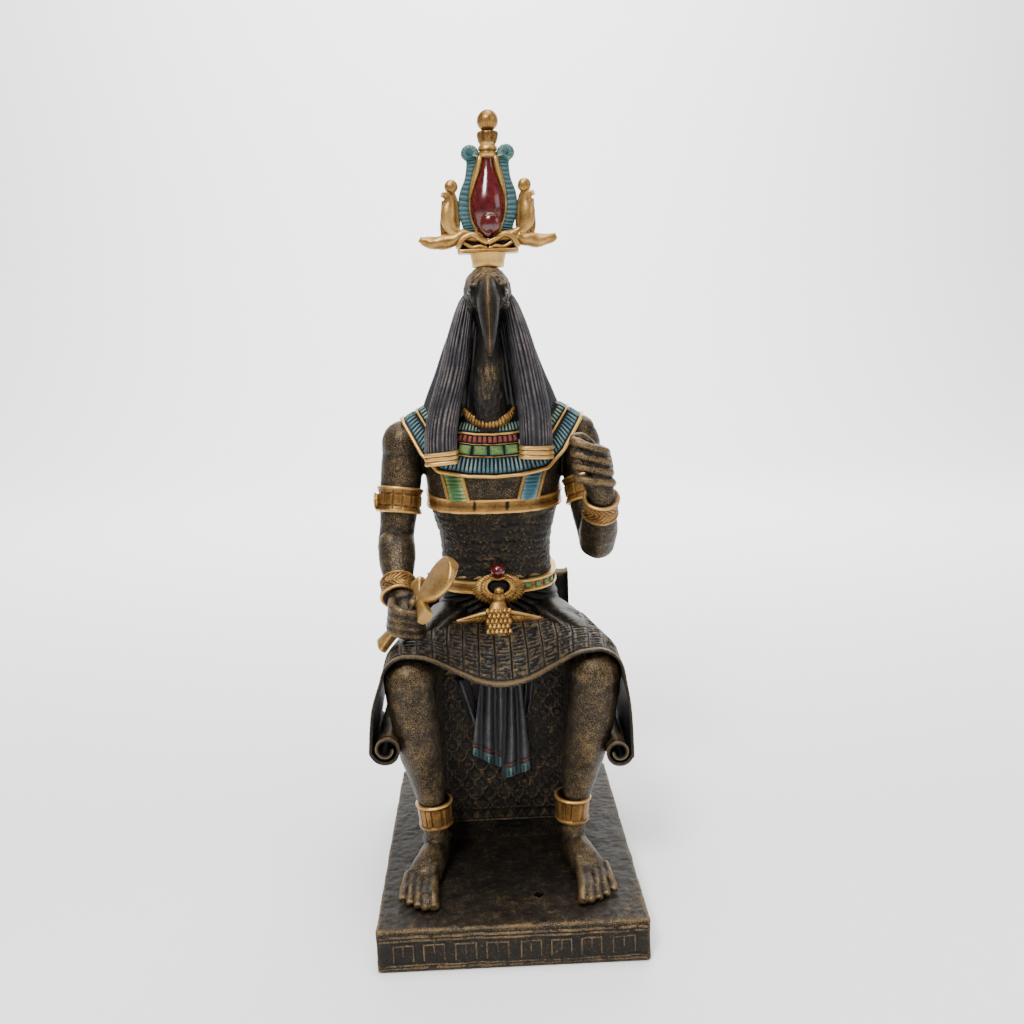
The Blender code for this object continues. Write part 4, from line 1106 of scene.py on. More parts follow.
@dataclass
class Trunk:
    """The waist with its rows of small feathers, and the pleated kilt under the belt."""

    around: int = 420
    row_height: float = 3.7
    feather_width: float = 2.2

    def wall(self, stations: Rows, rows: int) -> Array:
        """Returns rings of points through the trunk."""
        return level_rings(stations, rows, oval(self.around, 2.5))

    def waist(self, shop: Shop) -> None:
        """Builds the waist: rows of small pointed feathers that overlap downwards.

        Args:
            shop: takes the finished piece.
        """
        rings = self.wall([(-0.6, 31.5, 100, 23.3, 16.2), (-0.6, 31, 112, 22.7, 15.4),
                           (-0.6, 30, 121, 23.3, 15.4), (-0.6, 29, 131, 25.7, 16.7),
                           (-0.6, 28.5, 138, 26.9, 18.4)], 150)
        run = np.cumsum(np.linalg.norm(rings - np.roll(rings, 1, axis=1), axis=2), axis=1)
        form = skinned(rings)
        z = rings[..., 2] + 1.3 * noise(rings, (8.0, 8.0, 4.0), 8) + 0.5 * noise(rings, 2.4, 7)
        row = np.floor(z / self.row_height)
        rise = z / self.row_height - row
        cell = run / self.feather_width + 0.5 * (row % 2) + 0.6 * noise(rings, 4.0, 9)
        off = np.abs(cell - np.floor(cell) - 0.5) * 2.0
        tip = 0.30 * off ** 1.6
        lip = step(tip, tip + 0.20, rise) * (1.0 - 0.85 * step(tip + 0.2, 1.10, rise))
        lip = lip * (0.55 + 0.45 * noise(rings, (7.0, 7.0, 3.0), 14))
        heights = 0.44 * lip + 0.16 * noise(rings, 0.9, 10) + 0.12 * noise(rings, (2.6, 2.6, 1.1), 15)
        # Lighter where the feathers face up and forward: dry brushing together with painted light.
        form.pushed(np.append(heights.ravel(), [0, 0])).rubbed(5, 1.5).brushed_and_lit(0.06)
        shop.piece("feathered_waist", form, [CARVED])

    def kilt(self, shop: Shop) -> None:
        """Builds the kilt: pleats that fan out from the buckle.

        Args:
            shop: takes the finished piece.
        """
        rings = self.wall([(0, 33, 76, 25.6, 17.2), (0, 33, 92, 25.0, 17.3),
                           (-0.4, 32, 99, 23.6, 16.9), (-0.6, 31.4, 104.5, 23.0, 16.3)], 90)
        form = skinned(rings)
        angle = np.arctan2(rings[..., 0], -(rings[..., 1] - 33.0))
        fall = (rings[..., 2] - 92.0) + 14.0 * np.abs(np.sin(angle)) ** 0.8
        pleat = np.sin(fall * 2.0 + 0.8 * noise(rings, 7.0, 12))
        heights = 0.42 * np.sign(pleat) * np.abs(pleat) ** 0.6 + 0.08 * noise(rings, 0.9, 13)
        form.pushed(np.append(heights.ravel(), [0, 0])).rubbed(4, 1.1).worn(-0.10)
        shop.piece("pleated_kilt", form, [CARVED])

    def build(self, shop: Shop) -> None:
        """Builds the waist and the kilt.

        Args:
            shop: takes the finished pieces.
        """
        self.waist(shop)
        self.kilt(shop)


@dataclass
class Head:
    """The ibis head: feathered skull and neck, eyes under heavy lids, and the long bill."""

    middle: float = -0.6
    grain: float = 0.42
    bill: tuple = ((2.0, 217.8, 4.6, 7.0), (-3.6, 214.4, 4.3, 6.0), (-7.4, 208.5, 3.6, 4.6),
                   (-7.6, 201.0, 2.4, 3.8), (-5.2, 195.6, 1.5, 2.4))

    def skull_forms(self) -> list[Form]:
        """Models skull, brows, cheeks, lids, neck and bill.

        Returns:
            The forms that run into one.
        """
        x = self.middle
        forms = [limb([(-1.8, 12.2, 168.0, 7.4, 6.8), (-2.0, 8.6, 175.5, 7.3, 7.8),
                       (-2.2, 5.4, 184.0, 6.4, 8.4), (-1.4, 4.6, 192.5, 5.2, 8.4),
                       (-0.8, 9.0, 203.0, 4.8, 8.6), (-0.6, 13.0, 212.0, 7.2, 9.8)], sides=40),
                 limb([(x, 26.0, 215.5, 8.0, 9.5), (x, 20.0, 218.0, 9.1, 10.3),
                       (x, 12.0, 218.4, 9.2, 9.9), (x, 5.0, 217.4, 8.0, 8.5),
                       (x, 0.5, 215.5, 6.0, 6.2)], sides=40),
                 limb([(x, *row) for row in self.bill], sides=32, power=1.7)]
        for sign in (-1, 1):
            forms.append(ball((x + 5.2 * sign, 3.6, 220.6), (2.8, 4.6, 1.4)))
            forms.append(ball((x + 6.2 * sign, 6.4, 213.4), (2.2, 4.6, 2.6)))
            eye = np.array((x + 6.3 * sign, 1.6, 218.0))
            for ring_size, thick in ((1.9, 0.45), (2.7, 0.35)):
                lid = [eye + (sign * (0.5 - 0.10 * ring_size), ring_size * math.cos(a),
                              ring_size * 0.72 * math.sin(a)) for a in np.linspace(0, math.tau, 21)[:-1]]
                forms.append(rod(lid, thick, closed=True, side=(1, 0, 0)))
            for k in range(3):
                fold = [(x + sign * (3.9 + 1.0 * k + 1.6 * math.cos(a)), -2.2 + 0.9 * k,
                         212.8 - 0.3 * k + 1.8 * math.sin(a)) for a in np.linspace(0.1, 2.7, 9)]
                forms.append(rod(fold, 0.5))
        return forms

    def build(self, shop: Shop) -> None:
        """Casts the head, cuts its feathers and sets the eyes and the bill's gilt ridge.

        Args:
            shop: takes the finished pieces.
        """
        skin = cast(self.skull_forms(), self.grain, 2)
        p = skin.points
        bare = np.clip(step(2.0, -3.0, p[:, 1]) * step(190.0, 193.0, p[:, 2])
                       * step(6.0, 4.4, np.abs(p[:, 0] - self.middle)), 0, 1)
        strands = noise(p, (0.75, 0.75, 3.2), 21) + 0.6 * noise(p, (0.45, 0.45, 1.8), 22)
        skin.pushed(0.26 * strands * (1.0 - bare) + 0.04 * noise(p, 0.8, 23))
        skin.rubbed(6, 1.1)
        crest = step(217.0, 222.5, p[:, 2])
        # Painted shade: the neck beside the bill, between z 192 and 212, is darkened where the bill shades
        # it.
        shade_beside_bill = step(212.0, 207.0, p[:, 2]) * step(192.0, 198.0, p[:, 2]) * (1.0 - bare)
        low = step(184.0, 172.0, p[:, 2])
        face = step(4.6, 5.6, np.abs(p[:, 0] - self.middle)) * step(222.5, 220.5, p[:, 2])
        skin.worn(0.14 * crest - 0.04 * bare - 0.24 * shade_beside_bill - 0.12 * low
                  - 0.16 * face * step(7.0, 4.0, p[:, 1]) + 0.05 * (1.0 - bare))
        shop.piece("ibis_head_and_neck", skin, [CARVED])
        eyes = [ball((self.middle + 6.4 * s, 1.6, 218.0), (1.3, 1.5, 1.1)) for s in (-1, 1)]
        shop.piece("ibis_eyes", together(eyes), [EYE])
        rows = eased(self.bill, 40)
        along = unit(np.gradient(rows[:, :2], axis=0))
        front = np.stack([np.full(40, self.middle), rows[:, 0] + along[:, 1] * (rows[:, 3] - 0.15),
                          rows[:, 1] - along[:, 0] * (rows[:, 3] - 0.15)], axis=1)
        thick = 0.26 * np.sin(np.linspace(0.9, 3.0, 36)) + 0.10
        shop.piece("bill_ridge", rod(front[2:38], thick, flat=0.8), [GILT])


@dataclass
class Wig:
    """The striped headcloth of hair: one mass behind and two locks in front."""

    back_strands: int = 76
    lock_strands: int = 28
    samples: int = 8

    def strands(self, rings: Array, count: int, depth: float, wave: float, seed: int) -> Form:
        """Cuts lengthwise strands into a skin over rings.

        Args:
            rings: the smooth rings.
            count: strands round it.
            depth: depth of the cuts in mm.
            wave: how far the strands wander, as a share of their width.
            seed: another set of wanderings.
        Returns:
            The fluted form.
        """
        form = skinned(rings)
        turn = np.linspace(0.0, 1.0, rings.shape[1], endpoint=False)[None, :] * count
        turn = turn + wave * noise(rings, (6.0, 6.0, 24.0), seed)
        ridge = np.abs(np.sin(math.pi * turn)) ** 0.55
        form.pushed(np.append((depth * (ridge - 0.8)).ravel(), [0, 0]))
        form.pushed(0.04 * noise(form.points, 0.9, seed + 1))
        return form.rubbed(6, 1.6)

    def rings(self, stations: Rows, columns: int, power: float) -> Array:
        """Returns the level rings of one mass of hair."""
        return level_rings(stations, 90, oval(columns, power) * (1.0, -1.0))

    def lock(self, shop: Shop, side: Side, bottom: Row, slope: float) -> None:
        """Builds a front lock with its gilt end.

        Args:
            shop: takes the finished pieces.
            side: the side it hangs on.
            bottom: the middle of its lower end.
            slope: how much higher its end is at the right edge than in the middle.
        """
        sign = side.value
        x, y, z = bottom
        stations = [(sign * 6.6 - 0.6, 17.0, 219.5, 1.4, 4.2), (sign * 8.6 - 0.6, 15.4, 214.0, 3.2, 7.4),
                    (sign * 11.0 - 0.6, 13.5, 203.0, 4.9, 8.8), (sign * 13.6 - 0.6, 11.5, 190.0, 5.8, 8.8),
                    (mix(sign * 14.4, x, 0.7), 9.0, 174.0, 6.2, 7.4), (x, y + 1.6, z + 10.0, 6.3, 4.6),
                    (x, y, z - 0.4, 6.2, 3.4)]
        rings = self.rings(stations, self.lock_strands * self.samples, 2.5)
        shop.piece(f"wig_lock_{side.name.lower()}", self.strands(rings, self.lock_strands, 0.62,
                                                                 0.25, 31), [HAIR])
        profile = []
        for low in (-0.8, 0.95, 2.7):
            profile += [(low, -0.35), (low + 0.2, 0.35), (low + 0.85, 0.62), (low + 1.5, 0.35),
                        (low + 1.7, -0.35)]
        pairs = oval(72, 3.2)
        band = banded((x, y, z, 6.2, 3.8), profile, pairs, slope * pairs[:, 0])
        band.pushed(0.06 * noise(band.points, 1.4, 33)).rubbed(3, 1.3)
        shop.piece(f"lock_end_{side.name.lower()}", band, [GILT], Slot.GOLD)

    def build(self, shop: Shop) -> None:
        """Builds the mass behind and both locks.

        Args:
            shop: takes the finished pieces.
        """
        stations = [(-0.8, 22.0, 222.0, 4.0, 5.0), (-0.8, 22.0, 217.0, 8.4, 10.6),
                    (-0.8, 22.0, 209.0, 13.0, 13.6), (-0.8, 23.0, 199.0, 17.6, 15.0),
                    (-0.8, 24.5, 188.0, 21.8, 16.0), (-0.8, 26.0, 178.0, 26.0, 16.6),
                    (-0.8, 27.0, 169.0, 29.2, 16.8), (-0.8, 28.0, 162.0, 28.8, 16.6)]
        rings = self.rings(stations, self.back_strands * self.samples, 2.2)
        mass = self.strands(rings, self.back_strands, 0.62, 0.3, 35)
        shop.piece("wig_back", mass.worn(-0.10), [HAIR])
        self.lock(shop, Side.LEFT, (-20.8, 4.6, 153.6), 0.5)
        self.lock(shop, Side.RIGHT, (16.3, 4.6, 154.8), -0.2)


@dataclass
class Collar:
    """The broad collar: a dark cape with rows of ticks, plaques and beads, and a gilt crescent."""

    edge: tuple = ((-36.4, 168.4), (-29.0, 155.6), (-22.6, 149.0), (-11.0, 147.0), (0.0, 146.4),
                   (10.0, 147.0), (20.8, 149.0), (27.6, 155.6), (35.6, 168.0))
    middle: float = 27.5
    fall: float = 21.2
    swell: float = 1.6
    neck: tuple = (24.5, 11.5, 14.0, 181.0)
    opening: float = 12.4
    crescent: tuple = ((-11.8, 11.5, 174.4, 1.3), (-9.8, 8.4, 171.4, 1.9), (-6.2, 6.2, 169.3, 2.2),
                       (-1.8, 5.4, 168.5, 2.3), (2.6, 6.0, 169.0, 2.2), (6.2, 8.0, 170.8, 1.9),
                       (8.4, 11.0, 173.4, 1.3))

    def __post_init__(self) -> None:
        """Works out the rim once."""
        sides = [[(x, self.middle + s * self.fall * (1.0 - (abs(x) / 41.0) ** 3.2), z)
                  for x, z in self.edge] for s in (-1, 1)]
        tops = [[(x * 1.02, self.middle + y, z + 1.0) for y in (-3.0, 3.0)]
                for x, z in (self.edge[-1], self.edge[0])]
        loop = np.array(sides[0] + tops[0] + sides[1][::-1] + tops[1][::-1])
        gaps = np.linalg.norm(np.roll(loop, -1, axis=0) - loop, axis=1)
        self.run = np.concatenate([[0.0], np.cumsum(gaps)])
        self.loop = np.concatenate([loop, loop[:1]])

    def surface(self, u: Array, v: Array, height: Array) -> Array:
        """Finds points of the collar.

        Args:
            u: distance along the rim in mm, from its left corner across the chest.
            v: share of the way from the rim to the neck.
            height: how far above the surface, in mm.
        Returns:
            The points.
        """
        u = np.mod(np.asarray(u, float), self.run[-1])
        rim = np.stack([np.interp(u, self.run, self.loop[:, k]) for k in range(3)], axis=-1)
        neck_middle, wide, deep, top = self.neck
        angle = np.arctan2((rim[..., 1] - self.middle) / self.fall, rim[..., 0] / self.edge[-1][0])
        c, s = np.cos(angle), np.sin(angle)
        swell = self.swell * np.sin(math.pi * v) + np.asarray(height, float)
        return np.stack([mix(rim[..., 0], wide * c, v) + swell * c * 0.5,
                         mix(rim[..., 1], neck_middle + deep * s, v) + swell * s * 0.86,
                         mix(rim[..., 2], top, v) + swell * 0.5], axis=-1)

    def shows(self, points: Array, part: Part) -> Array:
        """Tells which points of the collar lie on the part that is asked for."""
        chest = (np.abs(points[..., 0] + 2.0) < self.opening) & (points[..., 1] < self.middle - 8.0)
        return {Part.CHEST: chest, Part.SHOULDERS: ~chest, Part.WHOLE: chest | True}[part]

    def row(self, v_low: float, v_high: float, pitch: float, fill: float, height: float,
            taper: float = 1.0, part: Part = Part.WHOLE) -> Form:
        """Sets a row of raised shapes round the collar.

        Args:
            v_low: share of the way to the neck where the row starts.
            v_high: where it ends.
            pitch: distance from shape to shape along the rim, in mm.
            fill: width of a shape as a share of the pitch.
            height: how far the shapes stand up.
            taper: width of their upper end as a share of the lower one.
            part: the part of the collar that carries the row, or all of it.
        Returns:
            The row.
        """
        count = int(self.run[-1] / pitch)
        shapes = []
        for i in range(count):
            u = (i + 0.5) * self.run[-1] / count
            if not self.shows(self.surface(u, np.array(v_low), 0.0), part):
                continue
            jog = 0.14 * pitch * (hashed(np.array([[i, 7, 1]]), 6)[0] - 0.5)
            half = pitch * fill / 2
            outline = [(u - half + jog, v_low), (u + half + jog, v_low),
                       (u + half * taper, v_high), (u - half * taper, v_high)]
            shapes.append(chip(self.surface, outline, height))
        return together(shapes)

    def line(self, v: float, width: float, height: float, part: Part = Part.WHOLE) -> Form:
        """Lays a raised line round the collar at one level.

        Args:
            v: share of the way from rim to neck.
            width: half its width in mm.
            height: how far it stands up.
            part: the part of the collar that carries the line, or all of it.
        Returns:
            The closed line.
        """
        u = np.linspace(0.0, self.run[-1], 360, endpoint=False)
        path = self.surface(u, np.full(360, v), np.full(360, height * 0.3))
        if part is not Part.WHOLE:
            kept = self.shows(path, part)
            first = int(np.argmax(kept & ~np.roll(kept, 1)))
            path = np.roll(path, -first, axis=0)[:int(np.argmin(np.roll(kept, -first)))]
        form = rod(path, width, sides=10, flat=0.9, closed=part is Part.WHOLE)
        form.pushed(0.07 * noise(form.points, 1.6, 41))
        return form.rubbed(4, 1.2)

    def necklace(self) -> Form:
        """Builds the fluted crescent under the throat.

        Returns:
            The closed crescent.
        """
        rows = eased(self.crescent, 150)
        run = np.cumsum(np.append(0.0, np.linalg.norm(np.diff(rows[:, :3], axis=0), axis=1)))
        form = rod(rows[:, :3], rows[:, 3], sides=24, flat=0.75, side=(0.0, -0.4, 1.0))
        groove = step(0.62, 0.92, np.abs(np.cos(math.pi * run / 1.25)))
        form.pushed(np.append(np.repeat(-0.34 * groove, 24), [0, 0]))
        return form.rubbed(3, 1.2)

    def ground(self) -> Form:
        """Builds the dark cape under the beads.

        Returns:
            The closed cape.
        """
        u = np.linspace(0.0, self.run[-1], 300, endpoint=False)
        rings = np.array([self.surface(u, np.full(300, v), np.full(300, -0.05))
                          for v in np.linspace(0.0, 1.0, 60)])
        form = skinned(rings)
        return form.pushed(0.06 * noise(form.points, 1.0, 42)).toned(0.30)

    def build(self, shop: Shop) -> None:
        """Builds the cape and its rows from the rim up to the neck.

        Args:
            shop: takes the finished pieces.
        """
        shop.piece("collar_cape", self.ground(), [CARVED])
        lines = [self.line(0.012, 0.85, 1.2), self.line(0.228, 0.22, 0.5, Part.CHEST),
                 self.line(0.362, 0.22, 0.5, Part.CHEST), self.line(0.475, 0.55, 0.7, Part.CHEST),
                 self.line(0.265, 0.50, 0.7, Part.SHOULDERS), self.necklace()]
        shop.piece("collar_gilt_lines_and_crescent", together(lines), [GILT], Slot.GOLD)
        shop.piece("collar_feather_ticks", self.row(0.052, 0.212, 1.75, 0.74, 0.46, 0.5), [BLUE])
        plaques = self.row(0.245, 0.345, 7.6, 0.84, 0.5, 1.0, Part.CHEST)
        shop.piece("collar_green_plaques", plaques, [GREEN])
        beads = self.row(0.380, 0.452, 2.7, 0.78, 0.55, 0.9, Part.CHEST)
        shop.piece("collar_red_beads", beads, [RED])
        ticks = [self.row(0.502, 0.598, 2.0, 0.66, 0.46, 0.8, Part.CHEST),
                 self.row(0.300, 0.395, 2.2, 0.66, 0.46, 0.8, Part.SHOULDERS)]
        shop.piece("collar_neck_ticks", together(ticks), [TURQUOISE])


@dataclass
class Dress:
    """The chest band, the straps up to the collar, and the belt with its green insets."""

    chest: tuple = (-0.6, 28.5, 137.0, 26.8, 18.8)
    belt: tuple = (-0.6, 31.6, 103.0, 24.0, 17.1)

    def hoop(self, place: Row, tall: float, thick: float, dip: float,
             rims: float, seed: int) -> Form:
        """Builds a gilt band round the body with a raised rim above and below.

        Args:
            place: x, y, z, half width and half depth of the band.
            tall: its height.
            thick: how far it stands off the body.
            dip: how much higher it sits behind than in front, at each end of its depth.
            rims: height of the rims.
            seed: another set of dents.
        Returns:
            The closed band.
        """
        half = tall / 2
        profile = [(-half, -0.6), (-half + 0.05, thick + rims), (-half + 0.8, thick + rims),
                   (-half + 1.0, thick), (0.0, thick + 0.1), (half - 1.0, thick),
                   (half - 0.8, thick + rims), (half - 0.05, thick + rims), (half, -0.6)]
        pairs = oval(360, 2.5)
        form = banded(place, profile, pairs, dip * pairs[:, 1])
        wander = noise(form.points, (2.2, 2.2, 9.0), seed)
        cracks = step(0.74, 0.86, wander) * step(0.0, -4.0, form.points[:, 1] - place[1])
        form.pushed(0.10 * noise(form.points, 1.7, seed + 1) - 0.45 * cracks)
        return form.rubbed(4, 0.9).worn(-0.5 * cracks)

    def strap(self, top: float, low: float) -> tuple[Form, Form]:
        """Builds one strap: its painted web and its two gilt borders.

        Args:
            top: x of its middle at the collar.
            low: x of its middle at the band.
        Returns:
            The web and the borders.
        """

        def web(u: Array, v: Array, height: Array) -> Array:
            """Finds points on the chest under the strap.

            Args:
                u: distance across the strap in mm.
                v: share of the way up it.
                height: how far above the chest, in mm.
            Returns:
                The points.
            """
            x = mix(low, top, v) + u
            swell = (1.0 - np.clip(np.abs(x + 0.6) / 28.0, 0, 1) ** 2.5) ** 0.4
            return np.stack([x, 27.6 - 19.1 * swell - height, mix(137.0, 149.0, v)], axis=-1)

        v = np.linspace(0.0, 1.0, 26)
        rings = []
        for share in v:
            u = np.array([-3.2, -3.2, -1.6, 0.0, 1.6, 3.2, 3.2, 0.0])
            lift = np.array([-1.5, 0.2, 0.35, 0.4, 0.35, 0.2, -1.5, -1.6])
            lift = lift + 0.22 * np.sin(share * 50.0) * (lift > 0)
            rings.append(web(u, np.full(8, share), lift))
        cloth = skinned(np.array(rings)).rubbed(3, 0.6).worn(-0.06)
        borders = [rod(web(np.full(26, side), v, np.full(26, 0.35)), 0.72, sides=10)
                   for side in (-4.0, 4.0)]
        gilt = together(borders)
        gilt.pushed(0.07 * noise(gilt.points, 1.5, 51)).rubbed(3, 1.0)
        return cloth, gilt

    def build(self, shop: Shop) -> None:
        """Builds bands, straps and belt insets.

        Args:
            shop: takes the finished pieces.
        """
        left, left_gilt = self.strap(-17.5, -15.0)
        right, right_gilt = self.strap(16.0, 12.7)
        shop.piece("strap_green", left, [GREEN])
        shop.piece("strap_teal", right, [BLUE])
        bands = [self.hoop(self.chest, 5.6, 0.9, 2.2, 0.45, 52), left_gilt, right_gilt]
        shop.piece("chest_band_and_borders", together(bands), [GILT], Slot.GOLD)
        belt = self.hoop(self.belt, 5.0, 0.8, 2.6, 0.4, 54)
        shop.piece("belt", belt, [GILT], Slot.GOLD)
        x, y, z, wide, deep = self.belt

        def round_waist(u: Array, v: Array, height: Array) -> Array:
            """Finds points on the belt.

            Args:
                u: the angle round it.
                v: height from its middle in mm.
                height: how far above it, in mm.
            Returns:
                The points.
            """
            c, s = (np.sign(t) * np.abs(t) ** 0.8 for t in (np.cos(u), np.sin(u)))
            return np.stack([x + (wide + 0.8 + height) * c, y + (deep + 0.8 + height) * s,
                             z + v + 2.6 * s], axis=-1)

        insets = []
        for i in range(30):
            turn = -1.13 + i * math.tau / 30
            if math.sin(turn) < 0.2 and math.cos(turn) < 0.38:
                continue
            insets.append(chip(round_waist, [(turn - 0.062, -1.2), (turn + 0.062, -1.2),
                                             (turn + 0.062, 1.2), (turn - 0.062, 1.2)], 0.5))
        shop.piece("belt_insets", together(insets), [GREEN])


@dataclass
class Cuffs:
    """Armlets, bracelets and anklets, cast with the figure and painted gilt."""

    def cuff(self, centre: Row, along: Row, wide: float, deep: float,
             tall: float, flare: float, cuts: Cut) -> Form:
        """Builds one cuff round a limb.

        Args:
            centre: its middle.
            along: the limb's direction.
            wide: half its width.
            deep: half its depth.
            tall: its height.
            flare: its size at the far end as a share of the near one.
            cuts: the pattern cut into its face.
        Returns:
            The closed cuff.
        """
        way = unit(np.asarray(along, float))
        across = unit(np.array((1.0, 0.0, 0.0)) - way * way[0])
        up = np.cross(way, across)
        sides, rows = 240, 42
        share = np.linspace(-0.5, 0.5, rows)
        pairs = oval(sides)
        spread = 1.0 + (flare - 1.0) * (share + 0.5)
        rings = (np.asarray(centre, float) + way * (share * tall)[:, None, None]
                 + spread[:, None, None] * (across * (wide * pairs[None, :, :1])
                                            + up * (deep * pairs[None, :, 1:])))
        rings = np.concatenate([mix(rings[:1], rings[:1].mean(1, keepdims=True), 0.22), rings,
                                mix(rings[-1:], rings[-1:].mean(1, keepdims=True), 0.22)])
        form = skinned(rings)
        level = np.abs(share)[:, None]
        turn = np.linspace(0.0, 1.0, sides, endpoint=False)[None, :] * np.ones((rows, 1))
        rim = step(0.36, 0.40, level) * (1 - step(0.46, 0.50, level)) * np.ones((1, sides))
        inner = 1.0 - step(0.32, 0.37, level)
        if cuts is Cut.FLUTES:
            beat = turn * 12.0 + 0.35 * np.sin(turn * 19.0)
            groove = step(0.93, 0.99, np.abs(np.cos(math.pi * beat)))
        elif cuts is Cut.FEATHERS:
            beat = turn * 22.0 + 2.6 * np.abs(share[:, None] * 2)
            groove = step(0.72, 0.95, np.abs(np.cos(math.pi * beat)))
            groove = np.maximum(groove, step(0.05, 0.0, level) * np.ones((1, sides)))
        else:
            beat = turn * 14.0
            groove = np.maximum(step(0.93, 0.99, np.abs(np.cos(math.pi * beat))),
                                step(0.06, 0.03, np.abs(level - 0.24)) * np.ones((1, sides)))
        heights = 0.42 * rim - 0.38 * groove * inner
        ends = np.zeros((1, sides))
        form.pushed(np.append(np.concatenate([ends, heights, ends]).ravel(), [0, 0]))
        form.pushed(0.07 * noise(form.points, 1.5, 61)).rubbed(5, 1.0)
        form.wear[[*range(sides), *range(len(form.points) - sides - 2, len(form.points))]] = 0.05
        return form

    def build(self, shop: Shop) -> None:
        """Builds the six cuffs and the armlets' bosses.

        Args:
            shop: takes the finished pieces.
        """
        for side in Side:
            sign, word = side.value, side.name.lower()
            shoulder, elbow, wrist = POSE.shoulder[sign], POSE.elbow[sign], POSE.wrist[sign]
            place = between(shoulder, elbow, 0.58 if sign < 0 else 0.44)
            along = np.subtract(elbow, shoulder)
            armlet = self.cuff(place, along, 9.1, 9.9, 10.5, 1.0, Cut.PANEL)
            disc = Matrix.Rotation(math.pi / 2, 3, "Y")
            boss = [ball(place + (sign * 9.0, -2.6, 0.6), (3.0, 2.8, 1.3), turn=np.array(disc)),
                    rod([place + (sign * 9.6, -2.6 + 2.9 * math.cos(a), 0.6 + 3.0 * math.sin(a))
                         for a in np.linspace(0, math.tau, 25)[:-1]], 0.45, closed=True,
                        side=(1, 0, 0))]
            boss = [part.rubbed(3, 0.9) for part in boss]
            shop.piece(f"armlet_{word}", together([armlet] + boss), [GILT], Slot.GOLD)
            place = between(elbow, wrist, 1.05 if sign < 0 else 0.82)
            bracelet = self.cuff(place, np.subtract(wrist, elbow), 6.9, 6.7,
                                 8.5 if sign < 0 else 9.5, 1.0, Cut.FEATHERS)
            shop.piece(f"bracelet_{word}", bracelet, [GILT], Slot.GOLD)
            ankle = POSE.ankle[sign]
            anklet = self.cuff((ankle[0] + 0.1 * sign, ankle[1] + 0.2, 20.8), (-0.06 * sign, 0, -1),
                               6.8, 7.2, 9.8, 0.92, Cut.FLUTES)
            shop.piece(f"anklet_{word}", anklet, [GILT], Slot.GOLD)


@dataclass
class Buckle:
    """The winged beetle that lifts a red ball, with the vulture spread below it."""

    middle: tuple = (-0.2, 11.8, 99.5)

    def feather(self, root: Row, tip: Row, wide: float,
                rise: float) -> Form:
        """Builds one feather with a raised quill.

        Args:
            root: where it starts.
            tip: where it ends.
            wide: half its width.
            rise: how far it bulges towards the viewer.
        Returns:
            The closed feather.
        """
        way = unit(np.subtract(tip, root))
        across = unit(np.cross(way, (0.0, 1.0, 0.35)))
        path = [between(root, tip, s) + (0, -rise * math.sin(math.pi * s), 0)
                for s in np.linspace(0, 1, 9)]
        sizes = wide * np.array((0.55, 0.75, 0.92, 1.0, 1.0, 0.95, 0.82, 0.6, 0.25))
        return rod(path, sizes, sides=12, flat=0.42, side=across)

    def build(self, shop: Shop) -> None:
        """Builds wings, beetle, ball, and the vulture with its wings on the papyrus.

        Args:
            shop: takes the finished pieces.
        """
        x, y, z = self.middle
        gilt = []
        for sign in (-1, 1):
            for inner, outer, count, wide, lift in (((5.6, 3.9), (10.7, 6.7), 17, 1.05, 0.0),
                                                    ((5.0, 3.4), (7.9, 5.2), 13, 0.95, 0.8)):
                for k in range(count):
                    a = math.radians(-88 + 158 * k / (count - 1))
                    start = (x + sign * inner[0] * math.cos(a), y - lift, z + 1.9 + inner[1] * math.sin(a))
                    end = (x + sign * outer[0] * math.cos(a * 0.98), y + 0.5 - lift,
                           z + 0.6 + outer[1] * math.sin(a * 0.98))
                    gilt.append(self.feather(start, end, wide, 0.5))
            rim = [(x + sign * 5.2 * math.cos(a), y - 0.9, z + 2.0 + 3.7 * math.sin(a))
                   for a in np.linspace(-1.45, 1.2, 20)]
            gilt.append(rod(rim, 0.75 * np.sin(np.linspace(0.6, 2.5, 20)) + 0.1))
            for k in range(8):
                root = ((1.6 + 1.5 * k) * sign - 0.7, 6.8 + 0.05 * k, 92.2 - 0.42 * k)
                end = ((5.6 + 2.0 * k) * sign - 0.7, 6.4 + 0.1 * k, 87.6 - 0.08 * k)
                gilt.append(self.feather(root, end, 0.95, 0.5))
            gilt.append(rod([(1.0 * sign - 0.7, 6.2, 92.6), (8.0 * sign - 0.7, 6.6, 91.2),
                             (19.4 * sign - 0.7, 7.2, 88.2)], (1.1, 0.9, 0.4), sides=12))
        gilt += [ball((x, y - 1.6, z + 0.4), (2.0, 1.9, 1.9)), ball((x, y - 1.3, z - 2.4), (2.6, 2.0, 3.0)),
                 limb([(-0.6, 8.8, 95.0, 3.0, 1.5), (-0.8, 5.8, 90.0, 5.2, 1.9),
                       (-1.0, 1.4, 84.6, 4.8, 1.8)], sides=30)]
        for row in range(6):
            for k in range(6 - row % 2):
                across = (k - (5 - row % 2) / 2) * 1.75
                top = (-0.7 + across, 4.9 - 1.40 * row, 94.0 - 1.75 * row)
                gilt.append(self.feather(top, (top[0], top[1] - 1.0, top[2] - 2.5), 0.92, 0.35))
        ground = ball((x, y + 0.9, z + 1.8), (5.2, 1.7, 3.7))
        shop.piece("buckle_ground", ground.toned(0.05), [CARVED])
        form = together([part.rubbed(2, 1.2) for part in gilt])
        form.worn(0.08 * noise(form.points, 1.2, 71))
        shop.piece("winged_beetle_and_vulture", form, [GILT], Slot.GOLD)
        shop.piece("buckle_ball", ball((-0.4, 11.0, 108.0), (3.1, 3.1, 3.1), 20, 32), [GARNET])
        seat = rod([(-0.4 + 3.0 * math.cos(a), 10.0, 105.8 + 1.0 * math.sin(a))
                    for a in np.linspace(math.pi, math.tau, 12)], 0.5)
        shop.piece("ball_seat", seat.rubbed(2, 1.0), [GILT], Slot.GOLD)


